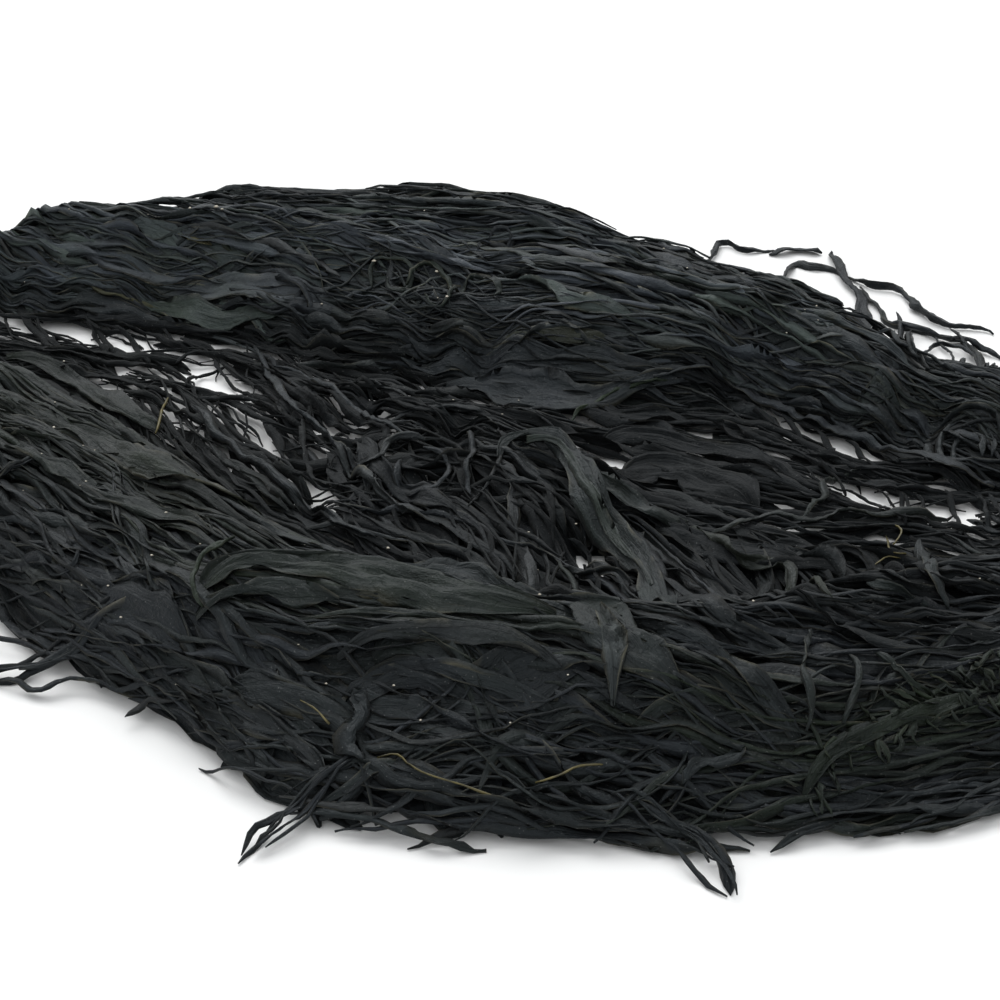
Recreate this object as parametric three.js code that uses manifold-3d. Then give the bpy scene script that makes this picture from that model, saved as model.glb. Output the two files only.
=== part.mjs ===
// A loose heap of dried wakame: long, shrivelled dark blades and strands that lie in two streams
// over a flat surface. A high stream runs along the back and turns forward at its right end, a broad
// one runs along the front, a thin saddle lies between them, and loose ends stick out all round.
// Millimetres, +Z up, +X along the streams, -Y towards the viewer. The heap rests on z = 0, and the
// origin is the middle of its bounding box's base.
import * as THREE from 'three';
import { mergeVertices } from 'three/addons/utils/BufferGeometryUtils.js';
import Module from 'manifold-3d';

const BACK_HEIGHT = 60; // crest of the back stream
const FRONT_HEIGHT = 52; // crest of the front stream
const SADDLE_HEIGHT = 7; // the thin net of strands between the two streams
const EDGE_HEIGHT = 3.2; // thickness of the heap's rim, about ten blades pressed flat
const HALF_LENGTH = 304; // of the mound along the streams, without the loose ends
const ROUNDNESS = 4; // of the mound's outline: 2 is an ellipse, more is squarer
const RIM_STEEPNESS = 15; // how late the mound falls off towards its outline
const EDGE_WAVE = 0.03; // how much the outline swings in and out, of its own reach
const LUMP_HEIGHT = 5; // unevenness of the mound, from hanks buried in it
const BLEND_POWER = 5; // how sharply two streams meet
const SECTORS = 60; // of the mound's net
const RINGS = 16;
const LOCK_SIDES = 6; // a lock is a twisted hank of strands that shows on the surface
const LOCK_STEPS = 8;
const LOCK_RADIUS = [6.5, 10.5];
const LOCK_FLATNESS = 0.7;
const LOCK_SINK = 1.2; // how deep a lock's axis lies under the mound's surface
const BLADE_RADIUS = [19, 25]; // a blade is a wide pleated frond lying open on the heap
const BLADE_FLATNESS = 0.17;
const TIP_RADIUS = 1.8; // of every lock and blade

// The mound's front and back edge: x, front y, back y.
const SECTIONS = [
  [-304, -40, 250],
  [-230, -86, 260],
  [-160, -146, 266],
  [-100, -214, 267],
  [-40, -244, 264],
  [20, -251, 250],
  [80, -248, 216],
  [140, -238, 174],
  [200, -220, 134],
  [260, -198, 98],
  [304, -180, 70],
];

// Streams as crest lines: x, y, height, reach to the back, reach to the front.
const STREAMS = [
  [ // the back stream, high at the left and middle, running forward and down at its right end
    [-320, 210, 60, 50, 32],
    [-230, 214, 59, 50, 32],
    [-120, 213, BACK_HEIGHT - 2, 54, 46],
    [-30, 210, BACK_HEIGHT, 54, 84],
    [55, 184, 55, 46, 88],
    [135, 128, 45, 44, 46],
    [195, 76, 38, 42, 38],
    [252, 38, 33, 44, 34],
    [310, 14, 26, 40, 36],
  ],
  [ // its shoulder, a smooth fall of blades towards the saddle
    [-150, 182, 24, 36, 22],
    [-40, 150, 34, 44, 40],
    [50, 118, 36, 44, 42],
    [106, 98, 28, 34, 24],
  ],
  [ // the front stream, from the upper left down to the lower right
    [-320, 98, 37, 38, 84],
    [-256, 60, 42, 38, 100],
    [-224, 32, 45, 38, 106],
    [-170, -28, 47, 36, 104],
    [-128, -70, 48, 36, 94],
    [-100, -106, 50, 36, 84],
    [-58, -134, FRONT_HEIGHT, 38, 80],
    [0, -150, 50, 40, 76],
    [50, -162, 46, 40, 72],
    [99, -154, 41, 40, 74],
    [150, -134, 38, 40, 80],
    [199, -106, 33, 40, 84],
    [250, -98, 29, 40, 78],
    [312, -98, 24, 40, 66],
  ],
  [ // the tangled apron in front of it
    [-168, -120, 27, 50, 46],
    [-96, -172, 29, 60, 60],
    [0, -196, 30, 64, 60],
    [80, -194, 29, 60, 56],
    [150, -178, 25, 56, 48],
  ],
  [ // the bundle that crosses from one stream to the other in the middle
    [-34, 74, 15, 28, 28],
    [4, 36, 25, 32, 32],
    [34, -14, 25, 28, 28],
    [58, -62, 23, 26, 26],
    [74, -112, 30, 26, 26],
  ],
  [ // a thinner bridge of strands at the right
    [196, 60, 16, 26, 26],
    [226, -10, 16, 30, 30],
    [236, -60, 20, 30, 30],
  ],
  [ // the saddle itself, a thin net
    [-240, 126, SADDLE_HEIGHT, 46, 60],
    [-120, 66, SADDLE_HEIGHT + 1, 56, 66],
    [-50, 4, SADDLE_HEIGHT + 6, 84, 90],
    [30, -40, SADDLE_HEIGHT + 7, 84, 90],
    [120, -30, SADDLE_HEIGHT + 4, 70, 80],
    [190, -10, SADDLE_HEIGHT, 60, 60],
    [280, -30, SADDLE_HEIGHT, 50, 50],
  ],
];

// How many locks show on each stream, and how far across they lie (-1 is the front reach, 1 the back reach).
const LOCKS_PER_STREAM = [5, 2, 5, 4, 0, 1, 0];
const LOCK_BAND = [-0.8, 0.6];
const LOCK_SWAY = 0.1; // to the side, of the reach
// Wide blades lying open, as lines of x, y.
const BLADES = [
  [[-136, -120], [-98, -148], [-50, -160], [0, -168], [44, -190], [78, -206]],
  [[-86, 78], [-30, 84], [12, 62], [60, 54], [104, 62], [136, 72]],
  [[-262, 74], [-214, 40], [-170, 0], [-128, -44], [-84, -84]],
  [[-52, 44], [-24, 30], [2, 12], [20, -30], [34, -84], [52, -136], [82, -172]],
];
// Loose ends that leave the outline and lie on the surface: x, y of the root, heading in degrees, length, radius.
const LOOSE_ENDS = [
  [-250, 186, 166, 70, 5.6],
  [-252, 130, 192, 68, 5.0],
  [-252, 44, 174, 68, 5.4],
  [-206, -44, 192, 66, 5.0],
  [-150, -130, 208, 60, 4.6],
  [58, 216, 4, 72, 4.8],
  [112, 180, -8, 78, 4.8],
  [180, 106, 2, 78, 5.0],
  [246, 26, -6, 78, 5.2],
  [252, -36, 12, 66, 4.8],
  [250, -124, -14, 70, 5.4],
  [190, -190, -22, 64, 4.8],
  [50, -234, -24, 50, 4.6],
  [-60, -220, 212, 46, 4.6],
];

function seeded(seed) {
  let a = seed >>> 0;
  return () => {
    a = (a + 0x6d2b79f5) >>> 0;
    let t = Math.imul(a ^ (a >>> 15), 1 | a);
    t = (t + Math.imul(t ^ (t >>> 7), 61 | t)) ^ t;
    return ((t ^ (t >>> 14)) >>> 0) / 4294967296;
  };
}

// Where on a stream the point lies: distance along (mm), signed distance across, and the stream's values there.
function onStream(stream, x, y) {
  let best = null;
  let run = 0;
  for (let i = 0; i + 1 < stream.length; i++) {
    const [ax, ay] = stream[i];
    const [bx, by] = stream[i + 1];
    const dx = bx - ax;
    const dy = by - ay;
    const length = Math.hypot(dx, dy);
    const t = THREE.MathUtils.clamp(((x - ax) * dx + (y - ay) * dy) / (length * length), 0, 1);
    const across = ((x - ax) * -dy + (y - ay) * dx) / length;
    const gap = Math.hypot(x - ax - t * dx, y - ay - t * dy);
    if (!best || gap < best.gap) {
      const mix = (k) => THREE.MathUtils.lerp(stream[i][k], stream[i + 1][k], t);
      best = { gap, along: run + t * length, across, height: mix(2), back: mix(3), front: mix(4) };
    }
    run += length;
  }
  return best;
}

function streamHeight(stream, x, y, k) {
  const p = onStream(stream, x, y);
  const d = p.gap / (p.across > 0 ? p.back : p.front);
  if (d >= 1) return 0;
  const groove = Math.sin(p.across / 8.5 + Math.sin(p.along / 47 + k));
  const lump = Math.sin(p.along / 23 + p.across / 17 + k) + Math.sin(p.along / 37 - p.across / 29 + 3 * k);
  const uneven = LUMP_HEIGHT * (0.35 * groove + 0.4 * lump) * Math.min(1, 2 * (1 - d)) * (p.height / BACK_HEIGHT);
  return Math.max(0, p.height * Math.pow(1 - Math.pow(d, 2.1), 0.85) + uneven);
}

function edges(x) {
  const last = SECTIONS.length - 2;
  let i = 0;
  while (i < last && x > SECTIONS[i + 1][0]) i++;
  const t = THREE.MathUtils.smoothstep(x, SECTIONS[i][0], SECTIONS[i + 1][0]);
  return [1, 2].map((k) => THREE.MathUtils.lerp(SECTIONS[i][k], SECTIONS[i + 1][k], t));
}

// How far out towards the mound's outline a point is: 0 in the middle, 1 on the outline.
function farOut(x, y) {
  const [front, back] = edges(x);
  const s = Math.abs(x / HALF_LENGTH);
  const t = Math.abs((2 * y - front - back) / (back - front));
  return Math.pow(Math.pow(s, ROUNDNESS) + Math.pow(t, ROUNDNESS), 1 / ROUNDNESS);
}

function heapHeight(x, y) {
  let sum = 0;
  STREAMS.forEach((stream, k) => {
    sum += Math.pow(streamHeight(stream, x, y, k), BLEND_POWER);
  });
  const falloff = 1 - Math.pow(Math.min(1, farOut(x, y)), RIM_STEEPNESS);
  return Math.max(EDGE_HEIGHT, Math.pow(sum, 1 / BLEND_POWER) * falloff);
}

// The mound: a lathe's net, whose rings are then drawn out to the outline and lifted to the heap's height.
function moundGeometry() {
  const profile = [new THREE.Vector2(0, -1), new THREE.Vector2(1, -1)];
  for (let i = 0; i <= RINGS; i++) profile.push(new THREE.Vector2(1 - i / RINGS, i === RINGS ? 1 : 0));
  const net = new THREE.LatheGeometry(profile, SECTORS);
  const at = net.attributes.position;
  for (let i = 0; i < at.count; i++) {
    const r = Math.hypot(at.getX(i), at.getZ(i));
    const c = r < 1e-6 ? 1 : at.getX(i) / r;
    const s = r < 1e-6 ? 0 : -at.getZ(i) / r;
    const square = Math.pow(Math.pow(Math.abs(c), ROUNDNESS) + Math.pow(Math.abs(s), ROUNDNESS), -1 / ROUNDNESS);
    const angle = Math.atan2(s, c);
    const wave = 1 + EDGE_WAVE * r * (Math.sin(5 * angle + 1) + Math.sin(9 * angle - 2) + 0.7 * Math.sin(17 * angle));
    const x = HALF_LENGTH * Math.pow(r, 0.75) * square * c * wave;
    const [front, back] = edges(x);
    const y = (front + back) / 2 + ((back - front) / 2) * Math.pow(r, 0.9) * square * s * wave;
    at.setXYZ(i, x, y, at.getY(i) < 0 ? 0 : heapHeight(x, y));
  }
  return net;
}

// A lock: a capped cylinder laid along a curve, flattened, and drawn thin at both tips.
function lockGeometry(curve, radius, flatness, twist) {
  const tube = new THREE.CylinderGeometry(1, 1, 1, LOCK_SIDES, LOCK_STEPS);
  const at = tube.attributes.position;
  const up = new THREE.Vector3(0, 0, 1);
  for (let i = 0; i < at.count; i++) {
    const t = THREE.MathUtils.clamp(at.getY(i) + 0.5, 0, 1);
    const centre = curve.getPoint(t);
    const tangent = curve.getTangent(t);
    const side = new THREE.Vector3().crossVectors(up, tangent).normalize();
    const normal = new THREE.Vector3().crossVectors(tangent, side).normalize();
    const r = Math.max(TIP_RADIUS, radius * Math.pow(Math.sin(Math.PI * (0.06 + 0.88 * t)), 0.6));
    const turn = twist * t;
    const c = at.getX(i) * Math.cos(turn) - at.getZ(i) * Math.sin(turn);
    const s = at.getX(i) * Math.sin(turn) + at.getZ(i) * Math.cos(turn);
    centre.addScaledVector(side, -c * r).addScaledVector(normal, s * r * flatness);
    at.setXYZ(i, centre.x, centre.y, centre.z);
  }
  return tube;
}

const wasm = await Module();
wasm.setup();

function solid(geometry) {
  const plain = geometry.clone();
  plain.deleteAttribute('normal');
  plain.deleteAttribute('uv');
  const merged = mergeVertices(plain, 1e-3);
  const triVerts = new Uint32Array(merged.index.array);
  const vertProperties = new Float32Array(merged.attributes.position.array);
  let made = new wasm.Manifold(new wasm.Mesh({ numProp: 3, vertProperties, triVerts }));
  if (made.volume() < 0) {
    for (let i = 0; i < triVerts.length; i += 3) [triVerts[i + 1], triVerts[i + 2]] = [triVerts[i + 2], triVerts[i + 1]];
    made = new wasm.Manifold(new wasm.Mesh({ numProp: 3, vertProperties, triVerts }));
  }
  return made;
}

function geometryOf(manifold) {
  const mesh = manifold.getMesh();
  const geometry = new THREE.BufferGeometry();
  const points = new Float32Array(mesh.numVert * 3);
  for (let i = 0; i < mesh.numVert; i++) {
    for (let k = 0; k < 3; k++) points[3 * i + k] = mesh.vertProperties[i * mesh.numProp + k];
  }
  geometry.setAttribute('position', new THREE.BufferAttribute(points, 3));
  geometry.setIndex(new THREE.BufferAttribute(new Uint32Array(mesh.triVerts), 1));
  return geometry;
}

// A point of a stream's crest line, moved across it.
function streamPoint(stream, along, across) {
  const line = new THREE.CatmullRomCurve3(stream.map(([x, y]) => new THREE.Vector3(x, y, 0)));
  const p = line.getPoint(along);
  const t = line.getTangent(along);
  const f = along * (stream.length - 1);
  const i = Math.min(stream.length - 2, Math.floor(f));
  const reach = THREE.MathUtils.lerp(stream[i][across > 0 ? 3 : 4], stream[i + 1][across > 0 ? 3 : 4], f - i);
  return new THREE.Vector2(p.x - t.y * across * reach, p.y + t.x * across * reach);
}

function laidCurve(points, radius, sink) {
  return new THREE.CatmullRomCurve3(
    points.map((p) => new THREE.Vector3(p.x, p.y, Math.max(radius * 0.6, heapHeight(p.x, p.y) - sink))),
  );
}

const random = seeded(20);
const between = ([low, high], t = random()) => THREE.MathUtils.lerp(low, high, t);
let heap = solid(moundGeometry());
STREAMS.forEach((stream, k) => {
  const count = LOCKS_PER_STREAM[k];
  for (let n = 0; n < count; n++) {
    const start = 0.03 + 0.55 * random();
    const end = Math.min(0.97, start + 0.35 + 0.3 * random());
    const from = between(LOCK_BAND, (n + 0.5) / count) + 0.15 * (random() - 0.5);
    const to = THREE.MathUtils.clamp(from + 0.6 * (random() - 0.5), ...LOCK_BAND);
    const radius = between(LOCK_RADIUS);
    const phase = 6.3 * random();
    const points = [];
    for (let i = 0; i <= 12; i++) {
      const t = i / 12;
      const wave = LOCK_SWAY * Math.sin(5 * t + phase);
      points.push(streamPoint(stream, THREE.MathUtils.lerp(start, end, t), THREE.MathUtils.lerp(from, to, t) + wave));
    }
    heap = heap.add(solid(lockGeometry(laidCurve(points, radius, LOCK_SINK), radius, LOCK_FLATNESS, 2 * (random() - 0.5))));
  }
});
for (const line of BLADES) {
  const radius = between(BLADE_RADIUS);
  const curve = laidCurve(line.map(([x, y]) => new THREE.Vector2(x, y)), 0, -1);
  heap = heap.add(solid(lockGeometry(curve, radius, BLADE_FLATNESS, 0.5 * (random() - 0.5))));
}
for (const [x, y, heading, length, radius] of LOOSE_ENDS) {
  const bend = 70 * (random() - 0.5);
  const points = [];
  for (let i = 0; i <= 4; i++) {
    const a = THREE.MathUtils.degToRad(heading + (bend * i) / 4);
    points.push(new THREE.Vector2(x + (length * i * Math.cos(a)) / 4, y + (length * i * Math.sin(a)) / 4));
  }
  heap = heap.add(solid(lockGeometry(laidCurve(points, radius, LOCK_SINK), radius, LOCK_FLATNESS, random())));
}

// The underside is flat where the heap is pressed on its surface.
const below = new THREE.BoxGeometry(900, 900, 60).translate(0, 0, -30);
heap = heap.subtract(solid(below));
const box = heap.boundingBox();
heap = heap.translate([-(box.min[0] + box.max[0]) / 2, -(box.min[1] + box.max[1]) / 2, 0]);

const seaweed = new THREE.MeshStandardMaterial({ color: 0x24292a, roughness: 0.72, metalness: 0 });
const mesh = new THREE.Mesh(geometryOf(heap), seaweed);
mesh.geometry.computeVertexNormals();
mesh.name = 'wakame_heap';

const group = new THREE.Group();
group.add(mesh);
export default group;
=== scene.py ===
import math

import bpy
import numpy as np
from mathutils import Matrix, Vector
from mathutils.bvhtree import BVHTree


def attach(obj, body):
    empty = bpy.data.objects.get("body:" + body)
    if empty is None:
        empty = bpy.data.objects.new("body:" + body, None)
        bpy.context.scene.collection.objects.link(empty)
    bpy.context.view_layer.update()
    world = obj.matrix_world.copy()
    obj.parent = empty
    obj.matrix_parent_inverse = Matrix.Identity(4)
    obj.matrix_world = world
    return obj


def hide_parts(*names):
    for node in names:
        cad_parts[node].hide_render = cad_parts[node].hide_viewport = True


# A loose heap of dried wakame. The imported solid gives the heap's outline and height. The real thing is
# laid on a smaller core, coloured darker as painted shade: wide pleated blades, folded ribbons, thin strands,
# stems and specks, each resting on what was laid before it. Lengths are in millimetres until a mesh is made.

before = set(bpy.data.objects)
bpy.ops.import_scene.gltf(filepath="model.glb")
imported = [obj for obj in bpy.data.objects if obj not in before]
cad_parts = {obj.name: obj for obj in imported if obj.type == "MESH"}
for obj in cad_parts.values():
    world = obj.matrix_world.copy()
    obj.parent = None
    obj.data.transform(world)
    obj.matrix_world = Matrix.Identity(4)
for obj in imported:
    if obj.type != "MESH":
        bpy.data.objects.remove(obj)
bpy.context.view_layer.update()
rng = np.random.default_rng(63)

# ---------------------------------------------------------------- the view
LENS, SENSOR = 86.4, 36.0
TILT = math.radians(30.0)
REACH = 1050.0
TARGET = np.array([0.143, 3.199, 0.0])
FOCAL = LENS / SENSOR * 1000.0
EYE = TARGET + REACH * np.array([0.0, -math.cos(TILT), math.sin(TILT)])


def sight(u, v):
    """The direction from the eye through a place in the 1000 by 1000 view."""
    a, b = (u - 500.0) / FOCAL, (v - 500.0) / FOCAL
    d = np.array([a, math.cos(TILT) - b * math.sin(TILT), -math.sin(TILT) - b * math.cos(TILT)])
    return d / np.linalg.norm(d)


def seen_at(p):
    """Where points (n by 3) show in the view."""
    d = np.asarray(p, float) - EYE
    right = d[..., 0]
    deep = d[..., 1] * math.cos(TILT) - d[..., 2] * math.sin(TILT)
    down = -d[..., 1] * math.sin(TILT) - d[..., 2] * math.cos(TILT)
    return 500.0 + FOCAL * right / deep, 500.0 + FOCAL * down / deep


# ---------------------------------------------------------------- the heap's form
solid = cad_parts["wakame_heap"].data
co = np.empty(len(solid.vertices) * 3)
solid.vertices.foreach_get("co", co)
co = co.reshape(-1, 3) * 1000.0
tree = BVHTree.FromPolygons([Vector(c) for c in co], [tuple(p.vertices) for p in solid.polygons])

CELL = 2.0
GX = np.arange(-332.0, 332.1, CELL)
GY = np.arange(-280.0, 280.1, CELL)
NX, NY = len(GX), len(GY)
DOWN = Vector((0, 0, -1))
TOP = np.zeros((NY, NX))
for j, y in enumerate(GY):
    for i, x in enumerate(GX):
        hit = tree.ray_cast(Vector((x, y, 200.0)), DOWN)
        if hit[0] is not None:
            TOP[j, i] = hit[0].z


def soften(a, n, axis):
    """n rounds of a 1-2-1 average along an axis."""
    a = np.moveaxis(np.array(a, float), axis, 0)
    for _ in range(n):
        p = np.concatenate([a[:1], a, a[-1:]])
        a = 0.25 * p[:-2] + 0.5 * p[1:-1] + 0.25 * p[2:]
    return np.moveaxis(a, 0, axis)


def widest(a, n, axis):
    """Running maximum over n neighbours on both sides."""
    a = np.moveaxis(np.array(a, float), axis, 0)
    for _ in range(n):
        p = np.concatenate([a[:1], a, a[-1:]])
        a = np.maximum(np.maximum(p[:-2], p[1:-1]), p[2:])
    return np.moveaxis(a, 0, axis)


def cells(x, y):
    fx = np.clip((np.asarray(x) - GX[0]) / CELL, 0, NX - 1.001)
    fy = np.clip((np.asarray(y) - GY[0]) / CELL, 0, NY - 1.001)
    i, j = fx.astype(int), fy.astype(int)
    return i, j, fx - i, fy - j


def sample(field, x, y):
    i, j, a, b = cells(x, y)
    return (
        field[j, i] * (1 - a) * (1 - b)
        + field[j, i + 1] * a * (1 - b)
        + field[j + 1, i] * (1 - a) * b
        + field[j + 1, i + 1] * a * b
    )


FORM = soften(soften(TOP, 3, 0), 3, 1)


def on_heap(u, v):
    """The point of the heap that shows at a place in the view, or the floor's point there."""
    d = sight(u, v)
    hit = tree.ray_cast(Vector(EYE), Vector(d))
    if hit[0] is not None:
        return np.array(hit[0])
    return EYE + d * (EYE[2] / -d[2])


def on_bed(u, v):
    """The point of the bed, or of the floor, that shows at a place in the view."""
    d = sight(u, v)
    t = (EYE[2] - np.arange(64.0, -0.5, -0.5)) / -d[2]
    p = EYE + d * t[:, None]
    under = p[:, 2] <= sample(BED, p[:, 0], p[:, 1])
    under &= (np.abs(p[:, 0]) < 330) & (np.abs(p[:, 1]) < 278)
    return p[int(np.argmax(under))] if under.any() else p[-1]


def laid_line(points, gap=4.0):
    """A line on the bed through places in the view, without those that miss the heap's left end and fall behind it."""
    spots = [on_bed(u, v) for u, v in points]
    spots = [p[:2] for p, (u, v) in zip(spots, points) if p[2] > 1.0 or u > 640 or v > 300]
    if len(spots) < 2:
        return np.zeros((0, 2))
    line = even(np.array(spots), gap)
    long = len(line) * gap > 70
    ends = line[0].copy(), line[-1].copy()
    line = soften(line, int((14.0 if long else 2.0) / gap) + 1, 0)
    if not long:
        line[0], line[-1] = ends
    inside = (line[:, 0] > 0) | ((np.abs(line[:, 0]) < LIMIT_X - 1) & (np.abs(line[:, 1]) < LIMIT_Y - 1))
    cuts = np.flatnonzero(np.diff(np.concatenate([[0], inside.astype(int), [0]])))
    runs = list(zip(cuts[::2], cuts[1::2]))
    return line[slice(*max(runs, key=lambda r: r[1] - r[0]))] if runs else np.zeros((0, 2))


def line_of(points, gap=6.0):
    """World x, y along a line given by places in the view, at even gaps."""
    p = np.array([on_heap(u, v)[:2] for u, v in points])
    return even(p, gap)


def even(p, gap):
    p = np.asarray(p, float)
    fine = []
    n = len(p)
    for i in range(n - 1):  # Catmull-Rom through the points
        a, b, c, d = p[max(i - 1, 0)], p[i], p[i + 1], p[min(i + 2, n - 1)]
        t = np.linspace(0, 1, 12, endpoint=False)[:, None]
        fine.append(0.5 * (2 * b + (c - a) * t + (2 * a - 5 * b + 4 * c - d) * t**2 + (3 * b - a - 3 * c + d) * t**3))
    fine = np.concatenate(fine + [p[-1:]])
    run = np.concatenate([[0], np.cumsum(np.linalg.norm(np.diff(fine, axis=0), axis=1))])
    s = np.arange(0, run[-1] + 1e-6, gap)
    if len(s) < 2:
        s = np.array([0, run[-1]])
    return np.stack([np.interp(s, run, fine[:, k]) for k in range(p.shape[1])], 1)


# ---------------------------------------------------------------- how the blades run
# Lines along the blades, as places in the view.
RUNS = [
    [(-150, 190), (0, 205), (60, 214), (140, 224), (230, 238), (300, 238), (380, 232), (480, 225), (560, 226), (620, 240), (690, 270), (760, 300), (830, 330)],
    [(-150, 225), (0, 232), (40, 242), (75, 262), (130, 282), (180, 300), (215, 312), (260, 315), (300, 322), (360, 330), (430, 338), (520, 340)],
    [(-150, 262), (0, 262), (60, 285), (110, 300), (160, 315), (210, 325), (260, 330)],
    [(100, 215), (170, 235), (220, 250), (260, 265), (290, 290), (310, 310)],
    [(300, 215), (360, 220), (420, 240), (470, 262), (540, 270), (620, 275), (680, 285)],
    [(340, 265), (400, 270), (450, 285), (520, 290), (600, 300), (660, 318), (700, 330)],
    [(330, 345), (400, 350), (460, 360), (520, 370), (600, 378), (660, 372), (700, 365), (770, 360), (850, 372)],
    [(400, 338), (500, 335), (600, 340), (660, 345), (740, 350), (820, 375), (900, 400), (1000, 440), (1100, 480)],
    [(650, 235), (700, 262), (760, 290), (820, 320), (870, 350), (930, 380), (1000, 410), (1100, 440)],
    [(680, 300), (740, 310), (800, 330), (860, 365), (900, 395), (960, 420), (1020, 440)],
    [(700, 375), (740, 380), (780, 400), (820, 428), (870, 450), (930, 465), (1000, 480), (1100, 500)],
    [(600, 440), (660, 450), (720, 470), (780, 480), (850, 500), (920, 520), (1000, 545), (1100, 570)],
    [(560, 470), (620, 480), (700, 500), (760, 515), (800, 520), (860, 515), (930, 518), (1000, 530)],
    [(-150, 320), (-50, 345), (0, 360), (60, 395), (130, 430), (200, 470), (260, 505), (300, 522), (360, 545), (440, 575)],
    [(-150, 380), (-60, 400), (0, 420), (60, 445), (120, 475), (170, 505), (215, 528), (250, 545)],
    [(-150, 440), (-60, 455), (0, 470), (60, 500), (120, 530), (170, 560), (210, 600), (250, 640), (290, 690)],
    [(-100, 520), (0, 545), (50, 560), (100, 590), (150, 625), (190, 650), (240, 690), (300, 720)],
    [(190, 400), (215, 430), (260, 470), (300, 500), (350, 520), (410, 530), (470, 550), (530, 585), (600, 610), (680, 620), (740, 640)],
    [(270, 350), (290, 390), (330, 430), (365, 470), (410, 510), (450, 530), (500, 570)],
    [(300, 400), (360, 420), (430, 430), (480, 430), (530, 440), (560, 465)],
    [(510, 435), (560, 450), (590, 490), (610, 540), (640, 580), (680, 610)],
    [(590, 470), (630, 510), (680, 520), (720, 540), (760, 570), (820, 580), (850, 610)],
    [(200, 590), (250, 570), (300, 560), (350, 560), (420, 570), (480, 590), (560, 605), (640, 620), (720, 650), (800, 680)],
    [(220, 620), (300, 610), (360, 605), (430, 612), (520, 610), (600, 630), (680, 650), (760, 690)],
    [(340, 660), (390, 640), (440, 635), (520, 640), (580, 665), (640, 690)],
    [(650, 590), (720, 600), (800, 610), (880, 620), (960, 630), (1050, 640)],
    [(700, 640), (770, 650), (850, 655), (930, 650), (1000, 640), (1080, 630)],
    [(790, 820), (820, 770), (850, 740), (900, 710), (950, 690), (1000, 665), (1060, 640)],
    [(680, 670), (730, 700), (770, 730), (810, 750)],
    [(180, 700), (210, 740), (260, 770), (330, 770), (370, 750)],
    [(230, 640), (290, 700), (330, 740), (350, 790), (380, 830)],
    [(330, 700), (400, 700), (470, 720), (540, 700), (600, 690)],
    [(370, 770), (430, 780), (500, 790), (570, 785), (620, 770)],
    [(620, 700), (640, 740), (660, 780), (680, 830)],
    [(380, 820), (480, 830), (580, 830), (700, 840), (820, 840)],
    [(700, 760), (760, 770), (830, 790), (900, 780), (1000, 740)],
    [(180, 650), (120, 645), (60, 645), (0, 630), (-60, 610)],
    [(180, 660), (130, 670), (90, 685), (50, 695), (0, 680), (-60, 650)],
    [(0, 580), (50, 610), (100, 640), (150, 680), (200, 720)],
]
# Lines for the sides that the view doesn't show, in the heap's own x, y.
FAR_RUNS = [
    [(-300, 190), (-200, 240), (-100, 252), (0, 246), (80, 214), (150, 160), (220, 104), (300, 64)],
    [(-300, 230), (-200, 258), (-60, 262), (60, 238), (150, 176), (230, 112)],
    [(-310, 60), (-250, 30), (-200, -30), (-140, -100), (-80, -170), (0, -215), (100, -225), (200, -210)],
    [(-60, -215), (40, -232), (140, -228), (230, -200), (300, -150)],
    [(200, -130), (260, -120), (316, -118)],
    [(220, 40), (270, 20), (316, 0)],
]
seg_p, seg_d = [], []
for r in RUNS:
    p = line_of(r)
    seg_p.append(0.5 * (p[1:] + p[:-1]))
    seg_d.append(np.diff(p, axis=0))
for r in FAR_RUNS:
    p = even(np.array(r, float), 8.0)
    seg_p.append(0.5 * (p[1:] + p[:-1]))
    seg_d.append(np.diff(p, axis=0))
seg_p, seg_d = np.concatenate(seg_p), np.concatenate(seg_d)
ang = np.arctan2(seg_d[:, 1], seg_d[:, 0])
c2, s2 = np.cos(2 * ang), np.sin(2 * ang)
cx, cy = np.meshgrid(GX[::3], GY[::3])
d2 = (cx[..., None] - seg_p[:, 0]) ** 2 + (cy[..., None] - seg_p[:, 1]) ** 2
w = np.exp(-d2 / (2 * 15.0**2)) + 0.02 * np.exp(-d2 / (2 * 50.0**2)) + 1e-9 / (d2 + 1)
FC, FS = (w * c2).sum(-1), (w * s2).sum(-1)
norm = np.hypot(FC, FS) + 1e-12
FC, FS = FC / norm, FS / norm


def heading(x, y):
    """The run's heading at x, y, without a sense."""
    fx = np.clip((x - GX[0]) / (3 * CELL), 0, FC.shape[1] - 1.001)
    fy = np.clip((y - GY[0]) / (3 * CELL), 0, FC.shape[0] - 1.001)
    i, j = fx.astype(int), fy.astype(int)
    a, b = fx - i, fy - j

    def s(f):
        return f[j, i] * (1 - a) * (1 - b) + f[j, i + 1] * a * (1 - b) + f[j + 1, i] * (1 - a) * b + f[j + 1, i + 1] * a * b

    return 0.5 * np.arctan2(s(FS), s(FC))


# Where the heap is tangled instead of combed, as places in the view: u, v, reach across, reach down, how much.
TANGLES = [
    (400, 450, 110, 44, 0.75),
    (330, 490, 60, 30, 0.5),
    (560, 520, 60, 40, 0.5),
    (170, 225, 60, 14, 0.4),
    (430, 745, 190, 62, 1.0),
    (640, 780, 160, 50, 0.9),
    (250, 760, 90, 60, 0.8),
    (420, 275, 70, 26, 0.9),
    (740, 315, 60, 22, 0.6),
    (480, 470, 60, 40, 0.7),
    (960, 430, 60, 40, 0.6),
    (870, 560, 80, 30, 0.4),
    (110, 520, 40, 30, 0.6),
    (900, 700, 90, 40, 0.5),
]
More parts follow.
